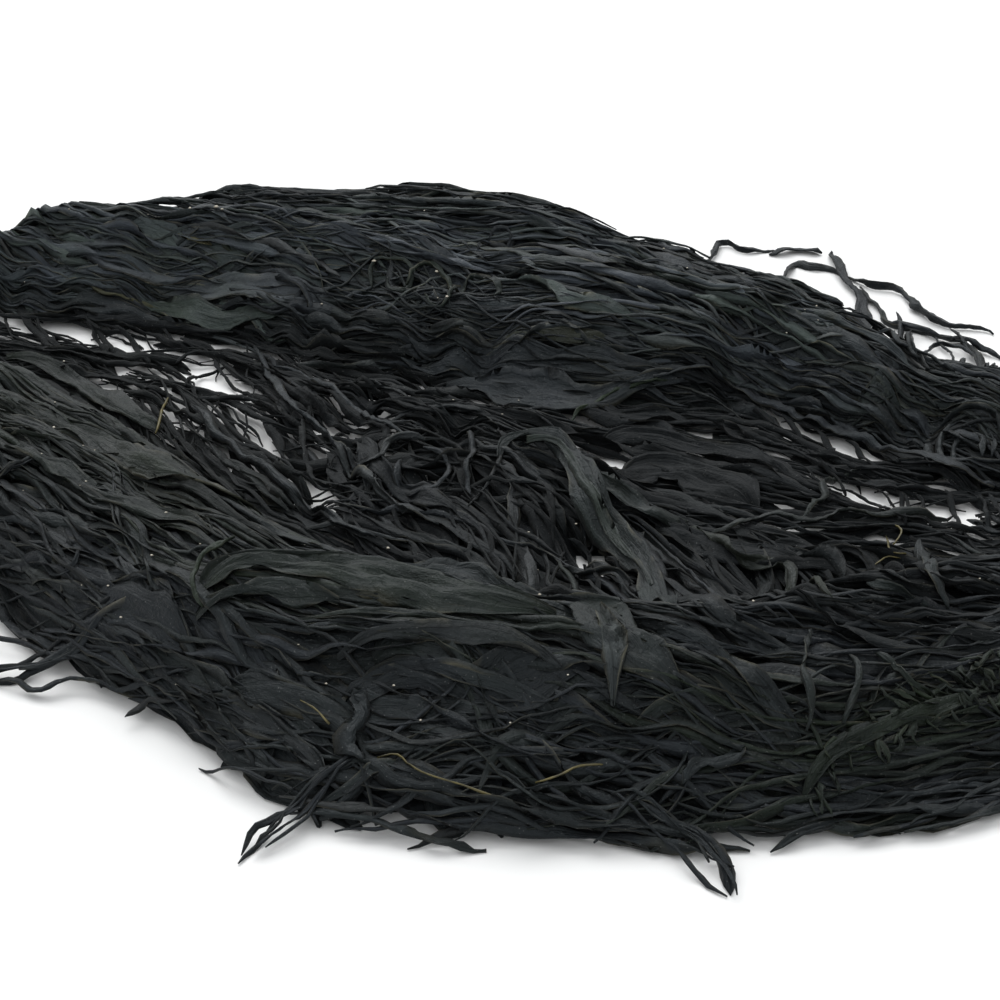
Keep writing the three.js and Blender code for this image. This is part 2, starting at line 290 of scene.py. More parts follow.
# Where the floor shows through the heap: u, v, half length, half width, slope in degrees (down to the right is positive).
GAPS = [
    (13, 320, 13, 5, 60), (28, 330, 8, 4, 40), (58, 326, 17, 6, 12), (78, 334, 14, 5, 32), (104, 330, 7, 4, 10), (113, 344, 19, 7, 22),
    (141, 342, 13, 4, 26), (161, 332, 19, 6, 8), (117, 369, 10, 4, 20), (130, 365, 5, 4, 0), (107, 388, 20, 4, 28),
    (91, 383, 6, 3, 35), (130, 386, 5, 3, 20), (141, 393, 5, 3, 20), (204, 374, 15, 8, -18), (222, 387, 23, 8, -6),
    (247, 389, 6, 5, -30), (170, 416, 8, 4, 45), (268, 355, 7, 5, 0), (307, 360, 7, 4, 25), (338, 344, 9, 5, 35),
    (18, 486, 7, 6, 40), (421, 388, 14, 8, 10), (482, 390, 4, 3, 0), (500, 408, 11, 5, 25), (370, 420, 3, 5, 0),
    (340, 437, 24, 6, 16), (456, 443, 8, 4, 20), (352, 481, 6, 3, 30), (404, 504, 8, 4, 15), (310, 514, 9, 8, 40),
    (577, 560, 14, 7, 30), (596, 562, 9, 7, 30), (619, 579, 6, 3, 10), (632, 581, 5, 3, -10),
    (730, 400, 9, 4, 0), (736, 409, 7, 3, 15), (768, 412, 21, 7, 27), (799, 430, 10, 4, 30), (800, 440, 7, 3, 5),
    (840, 445, 20, 5, 22), (876, 458, 10, 4, 14), (803, 462, 6, 3, 25), (815, 467, 5, 3, 25), (860, 495, 34, 6, 22),
    (900, 508, 12, 7, 10), (915, 510, 6, 7, 60), (936, 510, 15, 9, 0), (966, 513, 11, 12, 0), (978, 503, 4, 7, 60),
    (996, 508, 5, 9, 60), (938, 528, 8, 4, 0), (992, 541, 8, 4, 20), (901, 449, 7, 4, 25), (926, 452, 5, 3, 0),
    (722, 438, 5, 4, 20), (700, 387, 6, 5, 50), (745, 428, 3, 3, 0),
    (640, 209, 9, 5, 50), (656, 222, 9, 5, 45), (622, 237, 6, 6, 0), (676, 218, 22, 10, 40), (710, 228, 18, 8, 10), (708, 261, 6, 4, 10),
    (855, 308, 12, 9, 50), (884, 336, 8, 3, 0), (898, 350, 12, 3, 10), (925, 360, 10, 5, 0), (920, 340, 30, 8, 25),
]


def gap_map():
    """How far outside the nearest gap each place in the view lies, on a 2 px grid; less than 0 is inside."""
    u, v = np.meshgrid(np.arange(-40, 1041, 2.0), np.arange(160, 621, 2.0))
    near = np.full(u.shape, 40.0)
    for gu, gv, a, b, slope in GAPS:
        t = math.radians(slope)
        du, dv = u - gu, v - gv
        x, y = du * math.cos(t) + dv * math.sin(t), -du * math.sin(t) + dv * math.cos(t)
        r = np.sqrt((x / a) ** 2 + (y / b) ** 2) + 1e-6
        near = np.minimum(near, (r - 1) * np.sqrt(x * x + y * y) / r)
    return near


GAP_MAP = gap_map()


def from_gap(u, v):
    fx = np.clip((u + 40) / 2, 0, GAP_MAP.shape[1] - 1.001)
    fy = np.clip((v - 160) / 2, 0, GAP_MAP.shape[0] - 1.001)
    i, j = fx.astype(int), fy.astype(int)
    a, b = fx - i, fy - j
    g = GAP_MAP
    return g[j, i] * (1 - a) * (1 - b) + g[j, i + 1] * a * (1 - b) + g[j + 1, i] * (1 - a) * b + g[j + 1, i + 1] * a * b


def away(x, y, z, margin):
    """A step in x, y that takes points out of the way of the gaps."""
    def f(px, py):
        return from_gap(*seen_at(np.stack([px, py, z], -1)))

    d = f(x, y)
    gx, gy = (f(x + 1.0, y) - d), (f(x, y + 1.0) - d)
    size = gx * gx + gy * gy + 0.05
    push = np.clip(margin - d, 0, 12) / size
    push = np.where(d > -14, push, 0)
    return np.stack([gx * push, gy * push], -1)


cell_x, cell_y = np.meshgrid(GX, GY)
FORM_U, FORM_V = seen_at(np.stack([cell_x, cell_y, FORM], -1))


def blobs(places, base=0.0):
    """A field over the heap from soft ovals in the view: middle, reach across and down, how much."""
    field = np.full((NY, NX), base)
    for u, v, ru, rv, amount in places:
        field = np.maximum(field, amount * np.exp(-(((FORM_U - u) / ru) ** 2) - ((FORM_V - v) / rv) ** 2))
    return field


TANGLE = blobs(TANGLES)
# Greener, browner growth: the left front stream, the open blade in the middle and the frond at the lower right.
GREEN = blobs([
    (60, 400, 130, 70, 1.0), (150, 450, 110, 60, 1.0), (250, 500, 90, 50, 0.6), (300, 580, 140, 40, 0.5), (480, 620, 160, 40, 0.45),
    (880, 720, 110, 50, 0.8), (790, 790, 60, 50, 0.8), (690, 660, 90, 40, 0.45), (560, 335, 80, 12, 0.5), (960, 400, 60, 40, 0.4),
], 0.16)
# Partly paler, drier growth and partly painted highlight: the top of the back stream and the folds that face the light
# are coloured lighter.
PALE_AND_PAINTED_LIGHT = blobs([
    (60, 250, 150, 60, 1.6), (180, 250, 170, 56, 1.6), (300, 250, 140, 50, 1.4), (480, 240, 160, 44, 1.35), (600, 300, 110, 26, 1.2), (740, 315, 130, 44, 1.5),
    (100, 420, 120, 60, 0.15), (300, 570, 120, 36, 0.42), (420, 600, 120, 30, 0.35), (600, 640, 60, 40, 0.6), (960, 420, 60, 40, 0.6),
    (560, 350, 140, 24, 0.85), (850, 370, 120, 30, 1.0), (120, 620, 90, 40, 0.5), (300, 730, 120, 40, 0.4), (600, 740, 160, 50, 0.4),
], 0.20)
ANY = TOP > 1.5
# Painted shade: a darker colour low between the streams and under the folds, where shade falls.
PAINTED_SHADE = np.clip(1.25 - FORM / 22.0, 0, 1) * (FORM > 1.0) * (np.abs(GX[None, :]) < 300) * (GY[:, None] > -130)
PAINTED_SHADE = np.maximum(PAINTED_SHADE, blobs([(710, 480, 110, 50, 1.1), (400, 430, 150, 60, 0.95), (200, 350, 180, 24, 1.0), (880, 470, 130, 34, 0.9), (740, 430, 120, 30, 0.8), (860, 585, 150, 40, 0.85), (480, 710, 90, 26, 0.4), (575, 510, 130, 70, 1.2), (330, 480, 70, 36, 0.9), (620, 420, 90, 22, 0.9), (720, 560, 110, 26, 0.6), (120, 400, 150, 24, 0.3), (60, 560, 100, 40, 0.3), (100, 440, 110, 70, 0.35)]))


# ---------------------------------------------------------------- helpers for uneven things
def wander(n, every, size=1.0):
    """A smooth random line of n values: a new value every few samples, drawn over with soft bends."""
    k = max(3, int(n / max(every, 1)) + 3)
    knots = rng.normal(0, size, k)
    at = np.linspace(0, k - 1.001, n)
    i = np.clip(at.astype(int), 0, k - 2)
    t = at - i
    t = t * t * (3 - 2 * t)
    return knots[i] * (1 - t) + knots[i + 1] * t


def sheet_noise(n, m, every_n, every_m):
    a = max(2, int(n / every_n) + 2)
    b = max(2, int(m / every_m) + 2)
    knots = rng.normal(0, 1, (a, b))
    x, y = np.linspace(0, a - 1.001, n), np.linspace(0, b - 1.001, m)
    i, j = x.astype(int), y.astype(int)
    tx, ty = x - i, y - j
    tx, ty = tx * tx * (3 - 2 * tx), ty * ty * (3 - 2 * ty)
    tx, ty = tx[:, None], ty[None, :]
    g = lambda p, q: knots[np.ix_(p, q)]
    return g(i, j) * (1 - tx) * (1 - ty) + g(i + 1, j) * tx * (1 - ty) + g(i, j + 1) * (1 - tx) * ty + g(i + 1, j + 1) * tx * ty


class Piece:
    """Collects many closed sheets and tubes into one mesh."""

    def __init__(self, name):
        self.name = name
        self.co, self.strand, self.look, self.quads, self.ends = [], [], [], [], []
        self.count = 0
        self.faces = 0

    def add(self, co, strand, look, quads, ends=()):
        self.co.append(np.asarray(co, np.float32))
        self.strand.append(np.asarray(strand, np.float32))
        self.look.append(np.asarray(look, np.float32))
        self.quads.append(np.asarray(quads, np.int64) + self.count)
        self.ends += [[int(v) + self.count for v in e] for e in ends]
        self.count += len(co)
        self.faces += 2 * len(quads) + sum(len(e) - 2 for e in ends)

    def make(self, material):
        co = np.concatenate(self.co) * 0.001
        quads = np.concatenate(self.quads)
        mesh = bpy.data.meshes.new(self.name)
        loops = np.concatenate([quads.ravel(), np.array([v for e in self.ends for v in e], np.int64)])
        sizes = np.concatenate([np.full(len(quads), 4), np.array([len(e) for e in self.ends], np.int64)]).astype(np.int64)
        starts = np.concatenate([[0], np.cumsum(sizes)[:-1]])
        mesh.vertices.add(len(co))
        mesh.vertices.foreach_set("co", co.astype(np.float32).ravel())
        mesh.loops.add(len(loops))
        mesh.loops.foreach_set("vertex_index", loops.astype(np.int32))
        mesh.polygons.add(len(sizes))
        mesh.polygons.foreach_set("loop_start", starts.astype(np.int32))
        mesh.polygons.foreach_set("use_smooth", np.ones(len(sizes), bool))
        mesh.update(calc_edges=True)
        for name, data in (("strand", self.strand), ("look", self.look)):
            a = mesh.attributes.new(name, "FLOAT_VECTOR", "POINT")
            a.data.foreach_set("vector", np.concatenate(data).astype(np.float32).ravel())
        mesh.validate()
        mesh.materials.append(material)
        ob = bpy.data.objects.new(self.name, mesh)
        bpy.context.scene.collection.objects.link(ob)
        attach(ob, "root")
        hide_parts("wakame_heap")
        print(self.name, "faces", self.faces, "low", co.min(0).round(4), "high", co.max(0).round(4))
        return ob


# ---------------------------------------------------------------- laying
def smear(field, reach, gap=4.0):
    """A field averaged along the run, so that it turns into streaks."""
    gx, gy = np.meshgrid(GX, GY)
    total = field.copy()
    for sense in (0.0, math.pi):
        x, y = gx.ravel().copy(), gy.ravel().copy()
        th = heading(x, y) + sense
        for _ in range(int(reach / gap)):
            turn = np.mod(heading(x, y) - th + math.pi / 2, math.pi) - math.pi / 2
            th = th + turn
            x = np.clip(x + gap * np.cos(th), GX[0], GX[-1])
            y = np.clip(y + gap * np.sin(th), GY[0], GY[-1])
            total += sample(field, x, y).reshape(field.shape)
    return total / total.std()


def hanks(width, reach):
    """Rounded hanks with sharp dips between them: 1 on a hank, 0 in a dip."""
    n = int(2 * (width / CELL) ** 2)
    grain = soften(soften(rng.normal(0, 1, (NY, NX)), n, 0), n, 1)
    return np.clip(np.abs(smear(grain, reach)) / 0.9, 0, 1) ** 0.75


THICK = np.clip(FORM / 26.0, 0, 1)
HEAP = FORM - THICK * (5.0 * (1 - hanks(3.4, 56.0)) + 5.0 * (1 - hanks(8.0, 80.0)))


def clear_sight(heap, over=0.0, tallest=16.0):
    """The heap's height, cut down where it would hide a gap."""
    gx, gy = np.meshgrid(GX, GY)
    out = heap.copy()
    open_ = heap < tallest
    for z in np.arange(tallest, -0.1, -1.0):
        blocked = open_ & (heap > z) & (from_gap(*seen_at(np.stack([gx, gy, np.full(gx.shape, z)], -1))) < -0.5)
        out = np.where(blocked, np.maximum(z - 2.0, 0.0), out)
    return out


def talus(h, steep, rounds=30):
    """Takes the height down where it rises more steeply than loose growth would lie."""
    for _ in range(rounds):
        p = np.pad(h, 1, mode="edge")
        for dj, di in ((0, 1), (2, 1), (1, 0), (1, 2), (0, 0), (0, 2), (2, 0), (2, 2)):
            far = math.hypot(dj - 1, di - 1) * CELL * steep
            h = np.minimum(h, p[dj : dj + h.shape[0], di : di + h.shape[1]] + far)
    return h


HEAP = talus(clear_sight(HEAP), 1.45)
CALMER = soften(soften(HEAP, 5, 0), 5, 1)
HEAP += (CALMER - HEAP) * np.clip((np.hypot(*np.gradient(CALMER, CELL)) - 0.45) / 0.4, 0, 1)
FORM = np.minimum(FORM, HEAP + 10.0)
FORM = np.minimum(FORM, np.where(HEAP < 4.0, 8.0, 99.0))
SINK = 10.0  # how deep the core lies under the heap's surface
INSIDE = -widest(widest(-(TOP > 1.5).astype(float), 7, 0), 7, 1)  # 14 mm and more in from the outline
CORE = np.where((FORM > 13.5) & (INSIDE > 0.5), np.clip(HEAP - SINK, 0.5, None), 0.0)
BED = CORE.copy()  # what the next piece rests on
LIMIT_X, LIMIT_Y, LIMIT_Z = 320.0, 274.0, 61.6


def settle(x, y, z):
    """Raises the bed under points with tops at z."""
    i = np.clip(np.rint((x - GX[0]) / CELL).astype(int), 0, NX - 1)
    j = np.clip(np.rint((y - GY[0]) / CELL).astype(int), 0, NY - 1)
    np.maximum.at(BED, (j.ravel(), i.ravel()), z.ravel())


def press(z, x, y, over):
    """Presses what would rise over the heap's form softly back to it."""
    top = np.maximum(sample(HEAP, x, y) + over, 3.0 + 0.3 * (over + 7))
    e = z - (top - 3.0)
    return np.where(e > 0, top - 3.0 + 3.0 * (1 - np.exp(-np.maximum(e, 0) / 3.0)), z)


def follow(starts, length, step, stray, loose, margin=5.0):
    """Lines that follow the run from each start both ways: stray is how far a line's own heading may differ, loose its wriggle."""
    n = len(starts)
    half = int(max(length) / step / 2) + 1
    out = []
    own = rng.normal(0, 1, n) * stray
    for side in (0, 1):
        pos = starts.copy()
        th = heading(pos[:, 0], pos[:, 1]) + own + (math.pi if side else 0)
        curl = rng.normal(0, 1, n)
        track = [pos.copy()]
        for k in range(half):
            tangle = sample(TANGLE, pos[:, 0], pos[:, 1])
            want = heading(pos[:, 0], pos[:, 1]) + own
            turn = np.mod(want - th + math.pi / 2, math.pi) - math.pi / 2
            curl = 0.93 * curl + 0.36 * rng.normal(0, 1, n)
            th = th + turn * 0.22 * (1 - 0.85 * tangle) + curl * step * (loose + 0.035 * tangle)
            ahead = pos + step * np.stack([np.cos(th), np.sin(th)], 1)
            low = sample(FORM, ahead[:, 0], ahead[:, 1]) < 20.0
            if low.any():
                shove = away(ahead[low, 0], ahead[low, 1], sample(BED, ahead[low, 0], ahead[low, 1]) + 2.0, margin)
                shove *= np.minimum(1, 1.6 / (np.linalg.norm(shove, axis=1, keepdims=True) + 1e-9))
                ahead[low] += shove
                th = np.arctan2(ahead[:, 1] - pos[:, 1], ahead[:, 0] - pos[:, 0])
            pos = ahead
            track.append(pos.copy())
        out.append(np.array(track))
    lines = []
    for i in range(n):
        k = max(3, int(length[i] / step / 2))
        line = np.concatenate([out[1][1 : k + 1, i][::-1], out[0][: k + 1, i]])
        lines.append(line)
    return lines


def cut_to_heap(line, keep_edge=3.0, gap_grow=0.0, width=0.0):
    """The longest stretch of a line that stays on the heap and clear of the gaps, or None."""
    z = sample(BED, line[:, 0], line[:, 1])
    ok = (sample(TOP, line[:, 0], line[:, 1]) > keep_edge) & (np.abs(line[:, 0]) < LIMIT_X - width) & (np.abs(line[:, 1]) < LIMIT_Y - width)
    d = np.gradient(line, axis=0)
    d /= np.linalg.norm(d, axis=1, keepdims=True) + 1e-9
    for side in (-1.0, 0.0, 1.0):
        p = np.stack([line[:, 0] - side * width * d[:, 1], line[:, 1] + side * width * d[:, 0], z + 2], 1)
        ok &= from_gap(*seen_at(p)) > gap_grow
        if width > 3.0:
            ok &= sample(TOP, p[:, 0], p[:, 1]) > 2.0
    best, start = (0, 0), None
    for i, o in enumerate(list(ok) + [False]):
        if o and start is None:
            start = i
        if not o and start is not None:
            if i - start > best[1] - best[0]:
                best = (start, i)
            start = None
    return line[best[0] : best[1]] if best[1] - best[0] >= 6 else None


def resample(line, step):
    run = np.concatenate([[0], np.cumsum(np.linalg.norm(np.diff(line, axis=0), axis=1))])
    n = max(4, int(run[-1] / step))
    s = np.linspace(0, run[-1], n)
    return np.stack([np.interp(s, run, line[:, k]) for k in range(line.shape[1])], 1), run[-1]


serial = [0]


def look_of(x, y, lift=0.0):
    """green and pale for a piece at x, y: pale is partly the piece's own tone, partly painted highlight on the lit top
    of the back stream, less painted shade low between the streams.
    """
    g = float(np.clip(sample(GREEN, x, y) + rng.normal(0, 0.16), 0, 1))
    p = float(np.clip(sample(PALE_AND_PAINTED_LIGHT, x, y) + rng.normal(0, 0.2) + lift - 1.1 * sample(PAINTED_SHADE, x, y), -0.9, 1.5))
    return g, p


def blade(piece, line, half, pleat=4.2, deep=1.8, step=4.0, fine=1.15, ruffle=1.5, curl=1.4, fold=0.0, lift=0.0, look=None, taper=(0.5, 0.5), over=0.0, drape=2):
    """A wide pleated frond laid on the bed: line is its middle, half its half width, pleat the gap between folds and deep their height."""
    line, length = resample(line, step)
    n = len(line)
    if n < 5:
        return
    m = int(np.clip(2 * half / fine, 9, 44)) | 1
    q = np.linspace(-1, 1, m)
    s = np.linspace(0, 1, n)
    d = np.gradient(line, axis=0)
    d /= np.linalg.norm(d, axis=1, keepdims=True) + 1e-9
    side = np.stack([-d[:, 1], d[:, 0]], 1)
    ends = np.clip(np.minimum((s + 0.004) / taper[0], (1.004 - s) / taper[1]), 0, 1) ** 0.55
    width = half * np.clip(ends * (1 + 0.22 * wander(n, 22 / step * 2)), 0.1, 1.4)
    lean_at = [sample(HEAP, line[:, 0] + k * side[:, 0], line[:, 1] + k * side[:, 1]) for k in (-4.0, 4.0)]
    width = width / np.sqrt(1 + soften(((lean_at[1] - lean_at[0]) / 8.0) ** 2, 3, 0))
    width = np.maximum(width, 0.9)
    left = np.maximum(width * (1 + 0.22 * wander(n, 24 / step) + 0.07 * wander(n, 1.6)), 0.8)
    right = np.maximum(width * (1 + 0.22 * wander(n, 24 / step) + 0.07 * wander(n, 1.6)), 0.8)
    across = np.where(q[None, :] < 0, q[None, :] * left[:, None], q[None, :] * right[:, None])
    if fold:  # one edge turned back over the frond
        f = np.clip(fold * (0.6 + 0.5 * wander(n, 14)), 0, 0.6)[:, None]
        turned = np.clip((q[None, :] - (1 - f)) / 0.5, 0, None)
        across = across - 2.0 * turned * 0.5 * right[:, None]
        rise = 1.6 * np.minimum(1, turned * 6)
    else:
        rise = 0.0
    x = line[:, None, 0] + side[:, None, 0] * across
    y = line[:, None, 1] + side[:, None, 1] * across
    x, y = np.clip(x, -LIMIT_X, LIMIT_X), np.clip(y, -LIMIT_Y, LIMIT_Y)
    base = sample(BED, x, y)
    base = widest(base, 1, 0)
    base = soften(base, drape + 2, 0)
    base = soften(base, drape, 1)
    base = press(base, x, y, over)
    count = 2 * half / pleat
    bend = 0.16 * (wander(n, 70 / step)[:, None] * q[None, :] ** 2 + wander(n, 50 / step)[:, None] * (q[None, :] ** 3 - q[None, :]))
    phase = math.pi * count * (q[None, :] * 0.5 + 0.5 + bend) + 1.5 * sheet_noise(n, m, 36 / step, m / 3.0) + rng.uniform(0, 3)
    ridge = np.abs(np.sin(phase)) ** 0.85
    finer = max(1.6, pleat / 2.1)
    small = np.abs(np.sin(finer * phase + 1.4 * sheet_noise(n, m, 20 / step, m / 4) + 1.0))
    amount = np.clip(0.85 + 0.45 * sheet_noise(n, m, 34 / step, m / 3), 0.2, 1.6)
    small_deep = min(0.34 * deep, 0.6)
    h = deep * ridge * amount + small_deep * small + 0.35 * deep * sheet_noise(n, m, 20 / step, m / 3)
    edge = np.clip((np.abs(q)[None, :] - 0.72) / 0.28, 0, 1)
    lean_l, lean_r = wander(n, 26 / step)[:, None], wander(n, 26 / step)[:, None]
    frill_l = np.sin(np.cumsum(0.5 + 0.25 * wander(n, 4)) * step / 4)[:, None] * np.clip(0.7 + 0.6 * wander(n, 8), 0, 2)[:, None]
    frill_r = np.sin(np.cumsum(0.5 + 0.25 * wander(n, 4)) * step / 4 + 2)[:, None] * np.clip(0.7 + 0.6 * wander(n, 8), 0, 2)[:, None]
    lean = np.where(q[None, :] < 0, lean_l, lean_r)
    frill = np.where(q[None, :] < 0, frill_l, frill_r)
    h = h * (1 - 0.45 * edge) + edge**1.5 * (np.clip(curl * (0.35 + lean), -0.4, 3.6) + ruffle * frill)
    h = h * np.minimum(1, (width / half)[:, None] * 1.4) + rise
    tuck = np.clip(1 - np.minimum(s, 1 - s) * length / 9.0, 0, 1) ** 1.5
    z = np.clip(base + 0.4 + h - 1.6 * tuck[:, None], 0.7, LIMIT_Z)
    settle(x, y, z)
    settle(0.5 * (x[1:] + x[:-1]), 0.5 * (y[1:] + y[:-1]), 0.5 * (z[1:] + z[:-1]))
    # the closed sheet: the top in full, the underside coarser and just below it
    cols = list(range(4, m - 2, 4))
    low = []
    for c in cols:
        low.append(z[:, max(0, c - 4) : c + 5].min(1) - 0.45)
    low = np.maximum(np.stack(low, 1), 0.15)
    zt = z.copy()
    zt[:, [0, -1]] = np.maximum(zt[:, [0, -1]], 0.4)
    top = np.stack([x, y, zt], -1)
    bottom = np.stack([x[:, cols], y[:, cols], low], -1)
    k = len(cols)
    co = np.concatenate([top.reshape(-1, 3), bottom.reshape(-1, 3)])
    serial[0] += 1
    me = (serial[0] * 0.618034) % 1.0
    v = s * length
    flat = np.tile(q[None, :] * half, (n, 1))
    st = np.stack([flat, np.tile(v[:, None], (1, m)), np.full((n, m), me * 97.0)], -1)
    sb = np.stack([flat[:, cols], np.tile(v[:, None], (1, k)), np.full((n, k), me * 97.0)], -1)
    g, p = look if look else look_of(line[n // 2, 0], line[n // 2, 1], lift)
    lt = np.stack([np.full((n, m), g), np.full((n, m), p), np.tile(np.abs(q)[None, :], (n, 1))], -1)
    # The underside takes half the pale value: painted shade under the blade.
    lb = np.stack([np.full((n, k), g), np.full((n, k), p * 0.5), np.full((n, k), 0.3)], -1)
    idx = np.arange(n * m).reshape(n, m)
    jdx = n * m + np.arange(n * k).reshape(n, k)
    quads = [np.stack([idx[:-1, :-1], idx[:-1, 1:], idx[1:, 1:], idx[1:, :-1]], -1).reshape(-1, 4)]
    ring = np.concatenate([idx[:, -1:], jdx[:, ::-1], idx[:, :1]], 1)
    quads.append(np.stack([ring[:-1, :-1], ring[:-1, 1:], ring[1:, 1:], ring[1:, :-1]], -1).reshape(-1, 4))
    quads = np.concatenate(quads)[:, ::-1]
    first = list(idx[0, ::-1]) + list(jdx[0])
    last = list(idx[-1]) + list(jdx[-1, ::-1])
    piece.add(co, np.concatenate([st.reshape(-1, 3), sb.reshape(-1, 3)]), np.concatenate([lt.reshape(-1, 3), lb.reshape(-1, 3)]), quads, [first[::-1], last[::-1]])


RING_Q = np.array([-1.0, -0.5, 0.05, 0.55, 1.0, 0.5, 0.0, -0.5])
RING_H = np.array([0.0, 0.8, 1.0, 0.8, 0.0, -0.8, -1.0, -0.8])
THIN_Q = np.array([-1.0, -0.35, 0.4, 1.0, 0.3, -0.4])
THIN_H = np.array([0.0, 0.9, 0.9, 0.0, -0.9, -0.9])


def ribbon(piece, line, half, thick=0.45, step=3.6, twist=0.6, crease=0.6, crinkle=0.25, bridge=2, lift=0.0, look=None, over=2.0, height=None, tips=(0.12, 0.12), raise_by=0.0, thin=False, wriggle=0.0, sink=0.0):
    """A narrow frond or strand, folded and twisted, laid on the bed along a line, or at given heights."""
    if height is None:
        line, length = resample(line, step)
    else:
        both, length = resample(np.concatenate([line, np.asarray(height)[:, None]], 1), step)
        line, height = both[:, :2], both[:, 2]
    n = len(line)
    if n < 4:
        return
    s = np.linspace(0, 1, n)
    if wriggle:
        d = np.gradient(line, axis=0)
        d /= np.linalg.norm(d, axis=1, keepdims=True) + 1e-9
        rise = sample(HEAP, line[:, 0] - 3 * d[:, 1], line[:, 1] + 3 * d[:, 0]) - sample(HEAP, line[:, 0] + 3 * d[:, 1], line[:, 1] - 3 * d[:, 0])
        off = wriggle * (wander(n, 19 / step) + 0.35 * wander(n, 7 / step)) / (1 + (rise / 6.0) ** 2)
        line = line + off[:, None] * np.stack([-d[:, 1], d[:, 0]], 1)
    ends = np.clip(np.minimum((s + 0.004) / tips[0], (1.004 - s) / tips[1]), 0.05, 1) ** 0.7
    w = np.clip(half * ends * (1 + 0.25 * wander(n, 30 / step)), 0.25, 2.2 * half)
    turn = twist * (1.2 * wander(n, 32 / step) + 0.5 * rng.normal())
    lineflow = line
    if height is None:
        d = np.gradient(lineflow, axis=0)
        d /= np.linalg.norm(d, axis=1, keepdims=True) + 1e-9
        reach = 0.8 * half
        base = np.maximum(
            sample(BED, line[:, 0], line[:, 1]),
            np.maximum(sample(BED, line[:, 0] - reach * d[:, 1], line[:, 1] + reach * d[:, 0]), sample(BED, line[:, 0] + reach * d[:, 1], line[:, 1] - reach * d[:, 0])),
        )
        base = widest(base, bridge, 0)
        base = soften(base, bridge + 3, 0)
        tuck = np.clip(1 - np.minimum(s, 1 - s) * length / 10.0, 0, 1)
        z = base + thick + 0.75 * w * np.abs(np.sin(turn)) + raise_by + 0.35 * np.abs(wander(n, 18 / step)) - 1.4 * tuck
        z = press(z, line[:, 0], line[:, 1], over) - sink * np.clip(0.5 + wander(n, 14 / step), 0, 1.5)
    else:
        z = np.asarray(height, float)
    z = np.maximum(z, thick + 0.25 + 0.9 * w * np.abs(np.sin(turn)))
    mid = np.stack([line[:, 0], line[:, 1], z], 1)
    t = np.gradient(mid, axis=0)
    t /= np.linalg.norm(t, axis=1, keepdims=True) + 1e-9
    side = np.stack([-t[:, 1], t[:, 0], np.zeros(n)], 1)
    side /= np.linalg.norm(side, axis=1, keepdims=True) + 1e-9
    up = np.cross(t, side)
    ca, sa = np.cos(turn)[:, None], np.sin(turn)[:, None]
    a_axis, h_axis = side * ca + up * sa, up * ca - side * sa
    Q, Hh = (THIN_Q, THIN_H) if thin else (RING_Q, RING_H)
    k = len(Q)
    bend = crease * wander(n, 24 / step)
    bumps = rng.normal(0, 0.35, k) * (Hh != 0)
    a = Q[None, :] * w[:, None]
    tk = thick * (0.75 + 0.5 * ends)
    h = Hh[None, :] * tk[:, None] + (0.55 - np.abs(Q)[None, :]) * (bend * w * 0.9)[:, None] + bumps[None, :] * (np.abs(wander(n, 20 / step)) * thick)[:, None]
    h = h + crinkle * rng.normal(0, 1, (n, 1)) * 0.5 + crinkle * rng.normal(0, 0.6, (n, k))
    co = mid[:, None, :] + a[..., None] * a_axis[:, None, :] + h[..., None] * h_axis[:, None, :]
    co[..., 2] = np.maximum(co[..., 2], 0.12)
    co[..., 0] = np.clip(co[..., 0], -LIMIT_X - 0.5, LIMIT_X + 0.5)
    co[..., 1] = np.clip(co[..., 1], -LIMIT_Y - 0.5, LIMIT_Y + 0.5)
    co[..., 2] = np.minimum(co[..., 2], LIMIT_Z)
    settle(co[..., 0], co[..., 1], co[..., 2])
    settle(0.5 * (co[1:, :, 0] + co[:-1, :, 0]), 0.5 * (co[1:, :, 1] + co[:-1, :, 1]), 0.5 * (co[1:, :, 2] + co[:-1, :, 2]))
    serial[0] += 1
    me = (serial[0] * 0.618034) % 1.0
    v = s * length
    st = np.stack([np.tile(Q[None, :] * half, (n, 1)), np.tile(v[:, None], (1, k)), np.full((n, k), me * 97.0)], -1)
    g, p = look if look else look_of(line[n // 2, 0], line[n // 2, 1], lift)
    lk = np.stack([np.full((n, k), g), np.full((n, k), p), np.tile(np.abs(Q)[None, :], (n, 1))], -1)
    idx = np.arange(n * k).reshape(n, k)
    ring = np.concatenate([idx, idx[:, :1]], 1)
    quads = np.stack([ring[:-1, :-1], ring[:-1, 1:], ring[1:, 1:], ring[1:, :-1]], -1).reshape(-1, 4)[:, ::-1]
    piece.add(co.reshape(-1, 3), st.reshape(-1, 3), lk.reshape(-1, 3), quads, [list(idx[0]), list(idx[-1, ::-1])])


FACING = np.clip(0.5 + 0.9 * np.gradient(soften(soften(HEAP, 3, 0), 3, 1), CELL, axis=0), 0.35, 2.4)


def places(n, allowed, power=1.5):
    """n places on the heap, more of them where the bed still lies low."""
    lack = np.clip(FORM - BED, 0, None) * allowed * FACING
    p = (lack**power).ravel()
    p /= p.sum()
    at = rng.choice(len(p), n, p=p)
    return np.stack([GX[at % NX] + rng.uniform(-1, 1, n), GY[at // NX] + rng.uniform(-1, 1, n)], 1)


